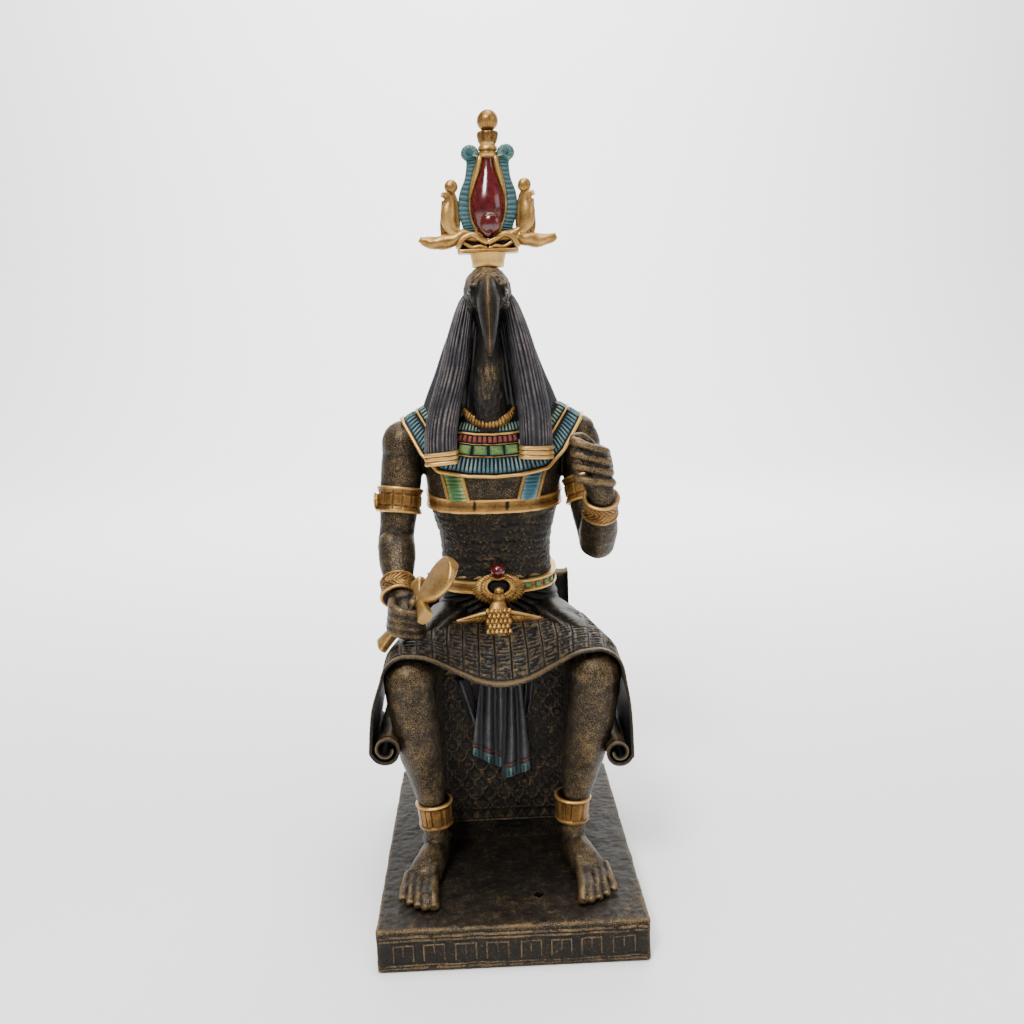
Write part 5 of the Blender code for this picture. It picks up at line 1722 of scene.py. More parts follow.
@dataclass
class Papyrus:
    """The written sheet over the lap, rolled up at both of its hanging ends."""

    front: float = -32.0
    back: float = 12.0
    thick: float = 0.9
    rolls: dict = sided((-44.6, 51.6, 6.0), (42.2, 46.8, 5.4))
    columns: float = 6.1
    sign_height: float = 2.5
    strokes: int = 6
    along_count: int = 470
    across_count: int = 122

    def line(self, y: float) -> Array:
        """Finds the sheet's outer line at one depth, from spiral to spiral.

        Args:
            y: the depth.
        Returns:
            Pairs of x and z, evenly spaced.
        """
        share = (self.back - y) / (self.back - self.front)
        top = mix(91.0, 87.2, share)
        middle = mix(87.8, 75.5, share ** 1.5)
        spread = mix(0.80, 1.0, min(1.0, share * 1.6))
        halves = []
        for sign in (-1, 1):
            x, z, radius = self.rolls[sign]
            knee = abs(POSE.knee[sign][0]) * spread
            half = []
            for a in range(-540, 1, 18):
                r = radius * mix(0.30, 1.0, (a + 540) / 540) ** 0.75
                half.append((abs(x) + r * math.cos(math.radians(a)), z + r * math.sin(math.radians(a))))
            half.append((mix(abs(x) + radius, knee + 10.6, 0.35), mix(z, top, 0.42)))
            half.append((knee + 10.2, mix(z, top, 0.72)))
            half += [(knee + 9.8 * math.cos(math.radians(a)), top - 9.8 + 9.8 * math.sin(math.radians(a)))
                     for a in range(15, 91, 15)]
            half += [(knee * 0.78, mix(top, middle, 0.10)), (knee * 0.50, mix(top, middle, 0.52)),
                     (knee * 0.25, mix(top, middle, 0.88))]
            halves.append([(sign * px, pz) for px, pz in half])
        whole = np.array(halves[0] + [(0.0, middle)] + halves[1][::-1])
        rough = eased(whole, 1400)
        run = np.concatenate([[0], np.cumsum(np.linalg.norm(np.diff(rough, axis=0), axis=1))])
        even = np.linspace(0, run[-1], self.along_count)
        return np.stack([np.interp(even, run, rough[:, k]) for k in range(2)], axis=1)

    def belly(self, x: Array, y: float) -> Array:
        """Returns how far the front edge bellies out between the knees."""
        return 2.2 * np.exp(-(x / 16.0) ** 2) * max(0.0, (self.front + 9.0 - y) / 9.0)

    def written(self, u: Array, v: Array) -> Array:
        """Cuts columns and rows of strokes that stand for writing.

        Args:
            u: distance along the sheet from its middle, in mm.
            v: distance from its front edge, in mm.
        Returns:
            Depths in mm, at or below 0.
        """
        column = np.floor(u / self.columns + 0.5)
        a = u / self.columns + 0.5 - column
        edge = np.minimum(a, 1.0 - a) * self.columns
        depth = -0.42 * (1.0 - step(0.16, 0.42, edge))
        tall = self.sign_height
        shifted = v + 1.3 * hashed(np.stack([column, column * 0, column * 0 + 2], -1), 81)
        row = np.floor(shifted / tall)
        b = shifted / tall - row
        cell = np.stack([column, row], axis=-1)
        for k in range(self.strokes):
            pick = [hashed(np.concatenate([cell, np.full((*cell.shape[:-1], 1), k * 6 + m)], -1), 82)
                    for m in range(5)]
            x0, y0 = 0.18 + 0.62 * pick[0], 0.14 + 0.70 * pick[1]
            flat = pick[2] < 0.55
            reach_x = np.where(flat, 0.12 + 0.34 * pick[3], 0.04 * pick[4])
            reach_y = np.where(flat, 0.05 * pick[4], 0.16 + 0.26 * pick[3])
            dx = np.maximum(np.abs(a - x0) - reach_x, 0.0) * self.columns
            dy = np.maximum(np.abs(b - y0) - reach_y, 0.0) * tall
            clear = step(0.50, 0.85, edge)
            depth = np.minimum(depth, -0.36 * (1.0 - step(0.12, 0.34, np.hypot(dx, dy))) * clear)
        return depth

    def sheet(self) -> Form:
        """Builds the sheet, cut on its outer face and smooth inside.

        Returns:
            The closed sheet.
        """
        ys = np.linspace(self.front, self.back, self.across_count)
        outer = []
        for y in ys:
            line = self.line(y)
            outer.append(np.stack([line[:, 0], y - self.belly(line[:, 0], y), line[:, 1]], axis=1))
        outer = np.array(outer)
        along = np.gradient(outer, axis=1)
        down = np.gradient(outer, axis=0)
        normal = unit(np.cross(along, down))
        if normal[self.across_count // 2, self.along_count // 2, 2] < 0:
            normal = -normal
        steps = np.linalg.norm(np.diff(outer, axis=1), axis=2)
        u = np.concatenate([np.zeros((self.across_count, 1)), np.cumsum(steps, axis=1)], axis=1)
        u = u - u[:, self.along_count // 2:self.along_count // 2 + 1]
        v = np.repeat((ys - self.front)[:, None], self.along_count, axis=1)
        rolled = step(0.70, 0.84, np.abs(u) / u[:, -1:])
        depth = self.written(u, v) * (1.0 - rolled)
        frame_line = step(1.6, 1.3, v) + step(2.9, 3.1, v) * step(3.7, 3.5, v)
        depth = np.where(v < 3.6, np.minimum(depth * (v > 3.1), 0.0) - 0.30 * step(2.2, 2.6, v)
                         * step(3.2, 2.9, v), depth) + 0.25 * np.clip(frame_line, 0, 1) * (v < 1.7)
        fibre = noise(np.stack([u, v, 0 * u], -1), (0.7, 4.0, 1.0), 83)
        skin = outer + normal * (depth + 0.06 * fibre)[..., None]
        few = np.linspace(0, self.across_count - 1, 9).astype(int)
        inner = outer[few] - normal[few] * self.thick
        n = self.along_count
        points = np.concatenate([skin.reshape(-1, 3), inner.reshape(-1, 3)])
        faces = woven(self.across_count, n, False)
        base = self.across_count * n
        faces += [tuple(i + base for i in face[::-1]) for face in woven(len(few), n, False)]
        last_outer, last_inner = (self.across_count - 1) * n, base + (len(few) - 1) * n
        for i in range(n - 1):
            faces.append((i + 1, i, base + i, base + i + 1))
            faces.append((last_outer + i, last_outer + i + 1, last_inner + i + 1, last_inner + i))
        for j, turn in ((0, 1), (n - 1, -1)):
            rim = [k * n + j for k in range(self.across_count)]
            rim += [base + k * n + j for k in range(len(few) - 1, -1, -1)]
            faces.append(tuple(rim[::turn]))
        form = facing_out(Form(points, faces))
        worn = np.clip(0.70 + 1.6 * depth + 0.10 * fibre, 0, 1)
        form.wear = np.concatenate([worn.ravel(), np.full(len(points) - base, 0.20)])
        return form

    def build(self, shop: Shop) -> None:
        """Builds the sheet and its raised front rim.

        Args:
            shop: takes the finished pieces.
        """
        shop.piece("papyrus_sheet", self.sheet(), [PAGE])
        line = self.line(self.front)
        kept = line[int(0.06 * len(line)):int(0.94 * len(line)):2]
        path = np.stack([kept[:, 0], self.front - self.belly(kept[:, 0], self.front) - 0.1,
                         kept[:, 1] - 0.2], axis=1)
        rim = rod(path, 0.32 * np.sin(np.linspace(0.12, math.pi - 0.12, len(path))) ** 0.25, sides=12)
        rim.pushed(0.08 * noise(rim.points, 1.5, 84)).rubbed(3, 0.8).worn(0.08)
        shop.piece("papyrus_front_rim", rim, [CARVED])


@dataclass
class Sash:
    """The pleated sash ends that hang against the throne, with red and turquoise hems."""

    wall: float = -2.5

    def panel(self, top: tuple, low: tuple, wide: tuple, deep: float, pleats: int,
              hem: float, slope: float, seed: int) -> Form:
        """Builds one hanging end.

        Args:
            top: x and z of the middle of its top.
            low: x and z of the middle of its hem.
            wide: half its width at the top and at the hem.
            deep: how far it stands out.
            pleats: how many pleats run down it.
            hem: height of its coloured hem in mm, or 0 for none.
            slope: how much lower its right corner hangs than its left.
            seed: another set of folds.
        Returns:
            The closed end, with finishes numbered cloth, red, turquoise.
        """
        rows, columns = 76, 44
        share = np.linspace(0.0, 1.0, rows)[:, None]
        across = np.linspace(-1.0, 1.0, columns)[None, :]
        half = mix(wide[0], wide[1], share ** 0.8)
        x = mix(top[0], low[0], share) + across * half + 0.5 * np.sin(share * 3.0 + seed)
        z = mix(top[1], low[1], share) - slope * across * share ** 2
        fold = np.sin((across * pleats + 0.4 * np.sin(share * 2.4 + seed)) * math.pi + seed)
        y = (self.wall - deep * (0.55 + 0.45 * np.sqrt(np.clip(1 - (across * 0.92) ** 2, 0, 1)))
             - 0.95 * fold * np.ones_like(share))
        z = z + 0.35 * fold * step(0.8, 1.0, share)
        face = np.stack([x, y, z], axis=-1)
        length = abs(top[1] - low[1])
        from_hem = (1.0 - share) * length * np.ones_like(across)
        zone = np.zeros((rows, columns), int)
        if hem > 0:
            zone[from_hem < hem] = 2
            zone[(from_hem >= hem) & (from_hem < hem + 1.5)] = 1
            edge = (np.abs(from_hem - hem) < 0.28) | (np.abs(from_hem - hem - 1.5) < 0.28)
            peak = np.abs(((across * half / 1.5) % 1.0) - 0.5) * 2.0
            dark = (from_hem < hem * 0.8) & (from_hem > 0.5) & (peak > (from_hem / hem) + 0.25)
            face[..., 1] += 0.22 * edge + 0.25 * dark
        behind = face.copy()
        behind[..., 1] = self.wall + 0.6
        points = np.concatenate([face.reshape(-1, 3), behind.reshape(-1, 3)])
        faces = woven(rows, columns, False)
        count = rows * columns
        faces += [tuple(i + count for i in quad[::-1]) for quad in faces]
        ring = [*range(columns), *range(2 * columns - 1, count, columns),
                *range(count - 2, count - columns - 1, -1), *range(count - 2 * columns, 0, -columns)]
        faces += [(ring[k], ring[k - 1], ring[k - 1] + count, ring[k] + count)
                  for k in range(len(ring))]
        form = facing_out(Form(points, faces))
        paint = zone[:-1, :-1].ravel()
        form.zones = np.concatenate([paint, paint, np.zeros(len(ring), int)])
        worn = 0.50 + 0.26 * fold + 0.05 * np.sin(x * 9.0)
        if hem > 0:
            worn = np.where(edge, 0.2, np.where(dark, 0.12, worn))
        form.wear = np.clip(np.concatenate([worn.ravel(), np.full(count, 0.4)]), 0, 1)
        return form

    def build(self, shop: Shop) -> None:
        """Builds the five folds of the sash.

        Args:
            shop: takes the finished piece.
        """
        parts = [self.panel((-17.0, 68.0), (-11.4, 49.0), (2.6, 2.2), 2.0, 1.5, 0.0, 1.0, 1),
                 self.panel((-4.4, 72.0), (-7.0, 34.2), (4.4, 5.6), 3.6, 2, 4.0, 3.0, 2),
                 self.panel((-0.6, 72.0), (-1.6, 31.0), (2.4, 2.2), 1.6, 1.5, 0.0, 0.8, 3),
                 self.panel((4.4, 72.0), (3.9, 28.4), (3.0, 6.0), 4.2, 2, 4.2, -2.0, 4),
                 self.panel((11.0, 69.0), (8.6, 53.0), (1.8, 1.4), 1.6, 1.5, 0.0, -1.0, 5)]
        shop.piece("sash_ends", together(parts), [CLOTH, RED, TURQUOISE])


def slate(low: Row, across: Row, up: Row, size: tuple,
          pitch: float, relief: Relief, thick: float = 1.2) -> Form:
    """Builds a carved slab that lies on a flat face.

    Args:
        low: its lower left corner as seen from outside.
        across: direction of its width.
        up: direction of its height.
        size: width and height in mm.
        pitch: size of its faces in mm.
        relief: gives heights in mm from u and v.
        thick: how far it runs into the face behind it.
    Returns:
        The closed slab.
    """
    columns, rows = (max(int(s / pitch) + 1, 3) for s in size)
    u, v = np.meshgrid(np.linspace(0, size[0], columns), np.linspace(0, size[1], rows))
    x, y = np.asarray(across, float), np.asarray(up, float)
    out = np.cross(x, y)
    edge = np.minimum(np.minimum(u, size[0] - u), np.minimum(v, size[1] - v))
    heights = relief(u, v) - 0.5 * (1.0 - step(0.0, 0.5, edge))
    flat = np.asarray(low, float) + u[..., None] * x + v[..., None] * y
    skin = flat + heights[..., None] * out
    count = rows * columns
    back = flat[np.ix_([0, rows - 1], [0, columns - 1])] - thick * out
    points = np.concatenate([skin.reshape(-1, 3), back.reshape(-1, 3)])
    faces = woven(rows, columns, False)
    faces.append((count, count + 2, count + 3, count + 1))
    faces.append((*range(columns - 1, -1, -1), count, count + 1))
    faces.append((*range(count - columns, count), count + 3, count + 2))
    faces.append((*range(0, count, columns), count + 2, count))
    faces.append((*range(count - 1, 0, -columns), count + 1, count + 3))
    form = facing_out(Form(points, faces))
    worn = np.clip(0.48 + 0.75 * (heights - heights.mean()), 0, 1)
    form.wear = np.concatenate([worn.ravel(), np.full(4, 0.3)])
    return form


@dataclass
class Throne:
    """The block seat: scales with discs on its sides and front, and a low backrest."""

    half: float = 31.5
    front: float = -2.5
    back: float = 60.0
    seat: float = 73.0
    rise: float = 24.0
    rest: float = 7.5
    scale_width: float = 5.7
    scale_height: float = 4.2
    inset: float = 3.5
    front_width: float = 48.0

    def scales(self, u: Array, v: Array) -> Array:
        """Carves rows of scales, each with a disc in its bend.

        Args:
            u: distance along the face in mm.
            v: height on it in mm.
        Returns:
            Heights in mm.
        """
        row = np.floor(v / self.scale_height)
        b = v - row * self.scale_height
        cell = u / self.scale_width + 0.5 * (row % 2)
        a = (cell - np.floor(cell) - 0.5) * self.scale_width
        deep = np.hypot(a, np.maximum(2.7 - b, 0.0))
        rim = step(0.46, 0.24, np.abs(deep - 2.4))
        disc = step(1.1, 0.8, np.hypot(a, b - 2.6)) * 0.9 - step(0.45, 0.25, np.hypot(a, b - 2.6))
        inner = step(0.34, 0.2, np.abs(deep - 1.6)) * (b < 2.6) * 0.45
        space = np.stack([u, v, 0 * u], axis=-1)
        return (0.42 * np.maximum(rim, np.maximum(disc, inner)) + 0.10 * noise(space, 0.9, 91)
                + 0.08 * noise(space, 3.0, 92))

    def bordered(self, size: tuple, margin: float, plain: tuple | None = None) -> Relief:
        """Puts a border of double lines round the scales.

        Args:
            size: width and height of the face.
            margin: width of the border.
            plain: width and height of a lower corner that is left as a sunk square.
        Returns:
            The relief of the whole face.
        """
        def relief(u: Array, v: Array) -> Array:
            """Finds the heights of the whole face.

            Args:
                u: distance along it in mm.
                v: height on it in mm.
            Returns:
                Heights in mm.
            """
            edge = np.minimum(np.minimum(u, size[0] - u), np.minimum(v, size[1] - v))
            field_share = step(margin, margin + 0.3, edge)
            line = step(0.36, 0.2, np.abs(edge - margin * 0.45)) + step(0.4, 0.25, np.abs(edge - margin))
            ticks = step(0.2, 0.7, np.abs(np.sin((u + v) * math.pi / 2.4)))
            between_lines = (edge > margin * 0.55) & (edge < margin * 0.9)
            made = self.scales(u, v) * field_share + 0.40 * np.clip(line, 0, 1)
            made = made + 0.22 * ticks * between_lines
            if plain is not None:
                d = np.maximum(np.abs(u - plain[0] / 2 - margin) - plain[0] / 2,
                               np.abs(v - plain[1] / 2 - margin) - plain[1] / 2)
                made = np.where(d < 0, 0.05 * noise(np.stack([u, v, 0 * u], -1), 1.0, 93), made)
                made = made + 0.45 * step(0.5, 0.3, np.abs(d)) + 0.35 * step(0.4, 0.25, np.abs(d + 2.2))
            return made
        return relief

    def toothed(self, u: Array, v: Array) -> Array:
        """Carves the front: a row of small triangles under the scales.

        Args:
            u: distance along the face in mm.
            v: height on it in mm.
        Returns:
            Heights in mm.
        """
        made = self.scales(u, v - 8.6) * step(9.0, 9.4, v)
        peak = 1.0 - np.abs(((u / 4.6) % 1.0) - 0.5) * 2.0
        tooth = step(0.0, 0.25, peak * 3.6 - (v - 4.6)) * step(4.4, 4.8, v)
        lines = step(0.4, 0.2, np.abs(v - 9.0)) + step(0.4, 0.2, np.abs(v - 3.8))
        space = np.stack([u, v, 0 * u], axis=-1)
        return 0.75 * made + 0.30 * np.clip(np.maximum(tooth, lines), 0, 1) + 0.08 * noise(
            space, 0.9, 94) - 0.1

    def block(self) -> Form:
        """Builds the seat and backrest with worn, rounded edges.

        Returns:
            The closed block.
        """
        rest_front, rest_top = self.back - self.rest, self.seat + self.rise
        outline = [(self.front, -3.0), (self.front, self.seat), (rest_front, self.seat),
                   (rest_front, rest_top), (self.back, rest_top), (self.back, -3.0)]
        points = [(s * self.half, y, z) for s in (-1, 1) for y, z in outline]
        n = len(outline)
        faces = [tuple(range(n)), tuple(range(2 * n - 1, n - 1, -1))]
        faces += [(k, (k + 1) % n, (k + 1) % n + n, k + n) for k in range(n)]
        shape = helper("block", facing_out(Form(np.array(points, float), faces)))
        bevelled(shape, 0.9)
        solid = reskinned(shape, 0.85)
        solid.pushed(0.10 * noise(solid.points, 1.2, 95) + 0.14 * noise(solid.points, 6.0, 96) - 0.1)
        return solid.rubbed(10, 0.9)

    def build(self, shop: Shop) -> None:
        """Builds the block and its four carved faces.

        Args:
            shop: takes the finished pieces.
        """
        shop.piece("throne_block", self.block(), [STONE])
        inset, up = self.inset, (0, 0, 1)
        size = (self.front_width, self.seat - 2 * inset)
        front = slate((-self.front_width / 2, self.front, inset), (1, 0, 0), up, size, 0.36, self.toothed)
        shop.piece("throne_front_carving", front, [CARVED])
        deep = self.back - self.front - 2 * inset
        size = (deep, size[1])
        relief = self.bordered(size, 3.2, (17.0, 20.0))
        left = slate((-self.half, self.back - inset, inset), (0, -1, 0), up, size, 0.42, relief)
        right = slate((self.half, self.front + inset, inset), (0, 1, 0), up, size, 0.42,
                      lambda u, v: relief(deep - u, v))
        shop.piece("throne_left_carving", left, [CARVED])
        shop.piece("throne_right_carving", right, [CARVED])
        size = (2 * self.half - 8.0, self.seat + self.rise - 2 * inset)
        behind = slate((self.half - 4.0, self.back - 0.25, inset), (-1, 0, 0), up, size, 0.5,
                       self.bordered(size, 4.2))
        shop.piece("throne_back_carving", behind, [CARVED])


@dataclass
class Plinth:
    """The oblong plinth: rough top, lined front with eight open frames, and a staff socket."""

    width: float = 96.0
    depth: float = 133.0
    frames: int = 8
    socket: tuple = (10.0, 19.5, 1.65, 7.0)

    def block(self) -> Form:
        """Builds the plinth with chipped edges and the socket's hole.

        Returns:
            The closed block.
        """
        half_w, half_d = self.width / 2, self.depth / 2
        corners = [(x, y, z) for z in (-PLINTH_TOP, 0.0) for y in (-half_d, half_d)
                   for x in (-half_w, half_w)]
        faces = [(0, 2, 3, 1), (4, 5, 7, 6), (0, 1, 5, 4), (2, 6, 7, 3), (0, 4, 6, 2), (1, 3, 7, 5)]
        x, inset, radius, deep = self.socket
        hole = turned([(radius, 1.0), (radius, -deep)], 24, (x, -half_d + inset, 0.0))
        shape, tool = helper("plinth", Form(np.array(corners), faces)), helper("hole", hole)
        bevelled(shape, 1.0)
        bore = shape.modifiers.new("hole", "BOOLEAN")
        bore.operation = "DIFFERENCE"
        bore.solver = "EXACT"
        bore.object = tool
        solid = reskinned(shape, 0.78)
        cleared(tool)
        p = solid.points
        top = step(-1.2, -0.2, p[:, 2])
        foot = step(-15.4, -14.6, p[:, 2])
        worm = np.abs(noise(p, (1.5, 1.5, 2.5), 101)) + 0.6 * np.abs(noise(p, (0.9, 0.9, 2.0), 102))
        solid.pushed((0.34 * (0.45 - worm) * top + 0.12 * noise(p, 1.4, 103)
                      + 0.16 * noise(p, 7.0, 104) - 0.12) * foot)
        return solid.rubbed(5, 0.7).worn(0.06 * top * step(-30.0, -60.0, p[:, 1]))

    def frieze(self, u: Array, v: Array) -> Array:
        """Raises the two pairs of lines and the open frames on the front.

        Args:
            u: distance from the left edge in mm.
            v: height in mm.
        Returns:
            Heights in mm.
        """
        space = np.stack([u, v, 0 * u], axis=-1)
        sway = 0.25 * noise(space, (7.0, 30.0, 1.0), 105)
        pitch = (self.width - 8.2) / self.frames
        cell = np.floor((u - 4.1) / pitch)
        shift = 0.9 * (hashed(np.stack([cell, 0 * cell, 0 * cell], -1), 106) - 0.5)
        a = u - 4.1 - (cell + 0.5) * pitch - shift
        half = pitch * (0.30 + 0.06 * hashed(np.stack([cell, 0 * cell, 0 * cell + 1], -1), 107))
        b = v - 3.0 + sway
        uprights = step(0.42, 0.22, np.abs(np.abs(a) - half)) * step(0.2, 0.6, b) * step(7.2, 6.9, b)
        lintel = step(0.42, 0.22, np.abs(b - 6.6)) * step(0.4, 0.1, np.abs(a) - half)
        lean = 0.12 * (b - 5.0) * (hashed(np.stack([cell, 0 * cell, 0 * cell + 2], -1), 108) - 0.5)
        stroke = step(0.38, 0.20, np.abs(a + lean)) * step(2.4, 2.8, b) * step(6.4, 6.2, b)
        inside = (cell >= 0) & (cell < self.frames)
        marks = np.maximum(np.maximum(uprights, lintel), stroke) * inside
        lines = np.zeros_like(u)
        for height, wide in ((12.9, 0.42), (11.5, 0.30), (1.0, 0.42), (2.1, 0.22)):
            lines = np.maximum(lines, step(wide + 0.2, wide, np.abs(v - height + sway)))
        nicks = step(0.55, 0.7, noise(space, (2.4, 5.0, 1.0), 109))
        return (0.42 * np.maximum(marks, lines * (1 - 0.8 * nicks)) + 0.07 * noise(space, 0.9, 110)
                + 0.08 * noise(space, 3.5, 111))

    def build(self, shop: Shop) -> None:
        """Builds the block and the front carving.

        Args:
            shop: takes the finished pieces.
        """
        shop.piece("plinth_block", self.block(), [STONE])
        face = -self.depth / 2
        wide = self.width - 1.6
        front = slate((-wide / 2, face + 0.25, -PLINTH_TOP + 0.9), (1, 0, 0), (0, 0, 1),
                      (wide, PLINTH_TOP - 1.7), 0.30, lambda u, v: self.frieze(u + 0.8, v + 0.4))
        shop.piece("plinth_front_frieze", front, [CARVED])


@dataclass
class Ankh:
    """The looped cross held in the resting fist, with a filled and slightly sunk loop."""

    thick: float = 4.2

    def build(self, shop: Shop) -> None:
        """Builds shaft, arms and loop.

        Args:
            shop: takes the finished piece.
        """
        along = unit(np.array((0.626, -0.27, 0.73)))
        across = np.array((0.164, -0.87, -0.46))
        across = unit(across - along * (across @ along))
        out = np.cross(along, across)
        grip, half = np.array((-36.2, -15.9, 97.3)), self.thick / 2

        def bar(stations: Rows, way: Array, side: Array, power: float,
                deep: float, base: float = 0.0) -> Form:
            """Builds a flattened bar through the fist.

            Args:
                stations: rows of distance and half width.
                way: the direction it runs in.
                side: the direction of its width.
                power: squareness of its section.
                deep: half its depth.
                base: how far along the shaft it starts.
            Returns:
                The closed bar.
            """
            rows = eased(stations, 50)
            pairs = oval(64, power)
            rings = [grip + along * base + way * d
                     + side * (w * pairs[:, :1]) + out * (deep * pairs[:, 1:]) for d, w in rows]
            return skinned(np.array(rings))

        shaft = bar([(-16.0, 3.5), (-10.0, 2.5), (2.0, 2.1), (9.5, 2.1)], along, across, 3.0, half)
        arms = bar([(-10.0, 3.2), (-4.0, 2.0), (0.0, 1.9), (4.0, 2.0), (10.0, 3.2)], across, along,
                   3.0, half, 10.5)
        loop = bar([(10.0, 2.0), (13.0, 4.2), (17.5, 7.0), (22.5, 8.3), (27.0, 7.3), (30.0, 4.4),
                    (31.0, 1.6)], along, across, 2.4, half * 1.05)
        spot = loop.points - grip
        length, side = spot @ along, spot @ across
        near = np.hypot((length - 21.6) / 7.4, side / 6.1)
        loop.points = loop.points - np.sign(spot @ out)[:, None] * out * 0.15 * step(1.0, 0.80, near)[:, None]
        form = together([part.rubbed(5, 1.0) for part in (shaft, arms, loop)])
        form.pushed(0.07 * noise(form.points, 3.0, 121))
        shop.piece("gilt_ankh", form.worn(0.14), [GILT], Slot.GOLD)


@dataclass
class Crown:
    """The headdress: foot and strands, horns, cobras, curled plumes, red bulb and ball."""

    place: tuple = (0.0, 15.0, 227.8)
    lean: float = 0.03

    def at(self, points: Array) -> Array:
        """Moves points of the crown to its place on the head, with its slight lean.

        Args:
            points: points in the crown's own place.
        Returns:
            The points in the figurine's frame.
        """
        made = np.asarray(points, float) + np.asarray(self.place)
        made[..., 0] += self.lean * (made[..., 2] - self.place[2])
        return made

    def gilt(self, name: str, forms: Sequence[Form], shop: Shop, rounds: int = 3,
             gain: float = 1.1) -> None:
        """Makes a gilt piece of the crown from several forms.

        Args:
            name: the piece's name.
            forms: its forms in the crown's own place.
            shop: takes the finished piece.
            rounds: reach of the wear.
            gain: strength of the wear.
        """
        whole = together([part.rubbed(rounds, gain) for part in forms])
        whole.pushed(0.05 * noise(whole.points, 1.2, 131))
        whole.points = self.at(whole.points)
        shop.piece(name, whole, [GILT], Slot.GOLD)

    def foot(self, shop: Shop) -> None:
        """Builds the foot, the plate and the wavy strands over it, with a near-black backing behind them that
        is painted shade.

        Args:
            shop: takes the finished pieces.
        """
        parts = [turned([(6.1, 0.1), (6.3, 0.3), (6.3, 2.2), (6.7, 3.8), (7.0, 5.4)], 64),
                 limb([(-11.2, 0, 6.15, 0.9, 4.7), (0, 0, 6.15, 1.0, 4.9), (11.2, 0, 6.15, 0.9, 4.7)],
                      side=(0, 0, 1), power=4.0)]
        for front in (-3.0, 3.0):
            for sign in (-1, 1):
                rows = eased([(0.0, 9.2), (2.6, 10.4), (6.0, 12.2), (9.6, 10.8), (11.6, 7.4)], 24)
                parts.append(rod([(sign * x, front, z) for x, z in rows], 1.15, sides=12))
                rows = eased([(0.4, 7.2), (3.0, 8.0), (6.0, 7.6), (9.0, 9.2), (12.4, 12.4)], 24)
                parts.append(rod([(sign * x, front * 0.7, z) for x, z in rows], 0.8, sides=10))
        self.gilt("crown_foot_and_strands", parts, shop, 4, 0.8)
        # Painted shade: a near-black backing behind the strand loops, which shows as the shadowed gaps
        # between them.
        ground = limb([(-10.8, 0, 8.2, 1.5, 1.2), (-6.0, 0, 9.4, 2.2, 1.6), (0, 0, 8.0, 1.3, 1.6),
                       (6.0, 0, 9.4, 2.2, 1.6), (10.8, 0, 8.2, 1.5, 1.2)], side=(0, 0, 1))
        ground.points = self.at(ground.points)
        shop.piece("crown_strand_shade_backing", ground.toned(0.05), [CARVED])

    def horns(self, shop: Shop) -> None:
        """Builds the thick wavy horns.

        Args:
            shop: takes the finished pieces.
        """
        parts = []
        for sign in (-1, 1):
            rows = eased([(2.0, 11.0, 2.2), (9.0, 12.2, 2.7), (14.0, 10.8, 3.0), (19.0, 9.8, 2.8),
                          (24.0, 10.4, 2.0), (26.4, 11.4, 1.1)], 90)
            path = [(x * sign, 0.0, z) for x, z, _ in rows]
            horn = rod(path, rows[:, 2], sides=28, flat=0.95, side=(0, 1, 0))
            p = horn.points
            turn = np.arctan2(p[:, 2] - 10.6, p[:, 1])
            horn.pushed(0.14 * np.sin(turn * 2.0 + np.abs(p[:, 0]) * 0.9 * sign))
            parts.append(horn)
        self.gilt("crown_horns", parts, shop, 6, 0.8)

    def cobras(self, shop: Shop) -> None:
        """Builds the two rearing cobras, folded on themselves, with discs on their heads.

        Args:
            shop: takes the finished pieces.
        """
        parts = []
        turn = np.array(Matrix.Rotation(math.pi / 2, 3, "X"))
        for sign in (-1, 1):
            for stations in (
                    [(9.8, -0.4, 12.6, 2.0), (13.0, -1.0, 13.6, 2.3), (15.0, -1.4, 17.0, 2.7),
                     (15.2, -1.6, 21.0, 2.9), (14.8, -1.6, 24.4, 2.2), (15.6, -2.0, 26.8, 1.7),
                     (17.6, -2.8, 27.4, 1.2)],
                    [(12.4, 0.8, 13.0, 1.3), (12.0, 0.6, 17.0, 1.4), (12.2, 0.4, 22.0, 1.4),
                     (13.0, 0.0, 26.0, 1.3), (14.0, -0.6, 28.6, 1.2)],
                    [(17.0, 0.2, 12.6, 1.1), (17.3, 0.0, 16.0, 1.2), (16.9, 0.0, 21.0, 1.2),
                     (16.6, -0.4, 25.4, 1.1)]):
                rows = eased(stations, 60)
                parts.append(rod(rows[:, :3] * (sign, 1, 1), rows[:, 3], sides=20, flat=0.75,
                                 side=(1, 0, 0)))
            parts.append(ball((14.0 * sign, -0.8, 30.4), (2.6, 2.7, 1.9), 14, 28, turn))
        self.gilt("crown_cobras", parts, shop, 5, 0.8)

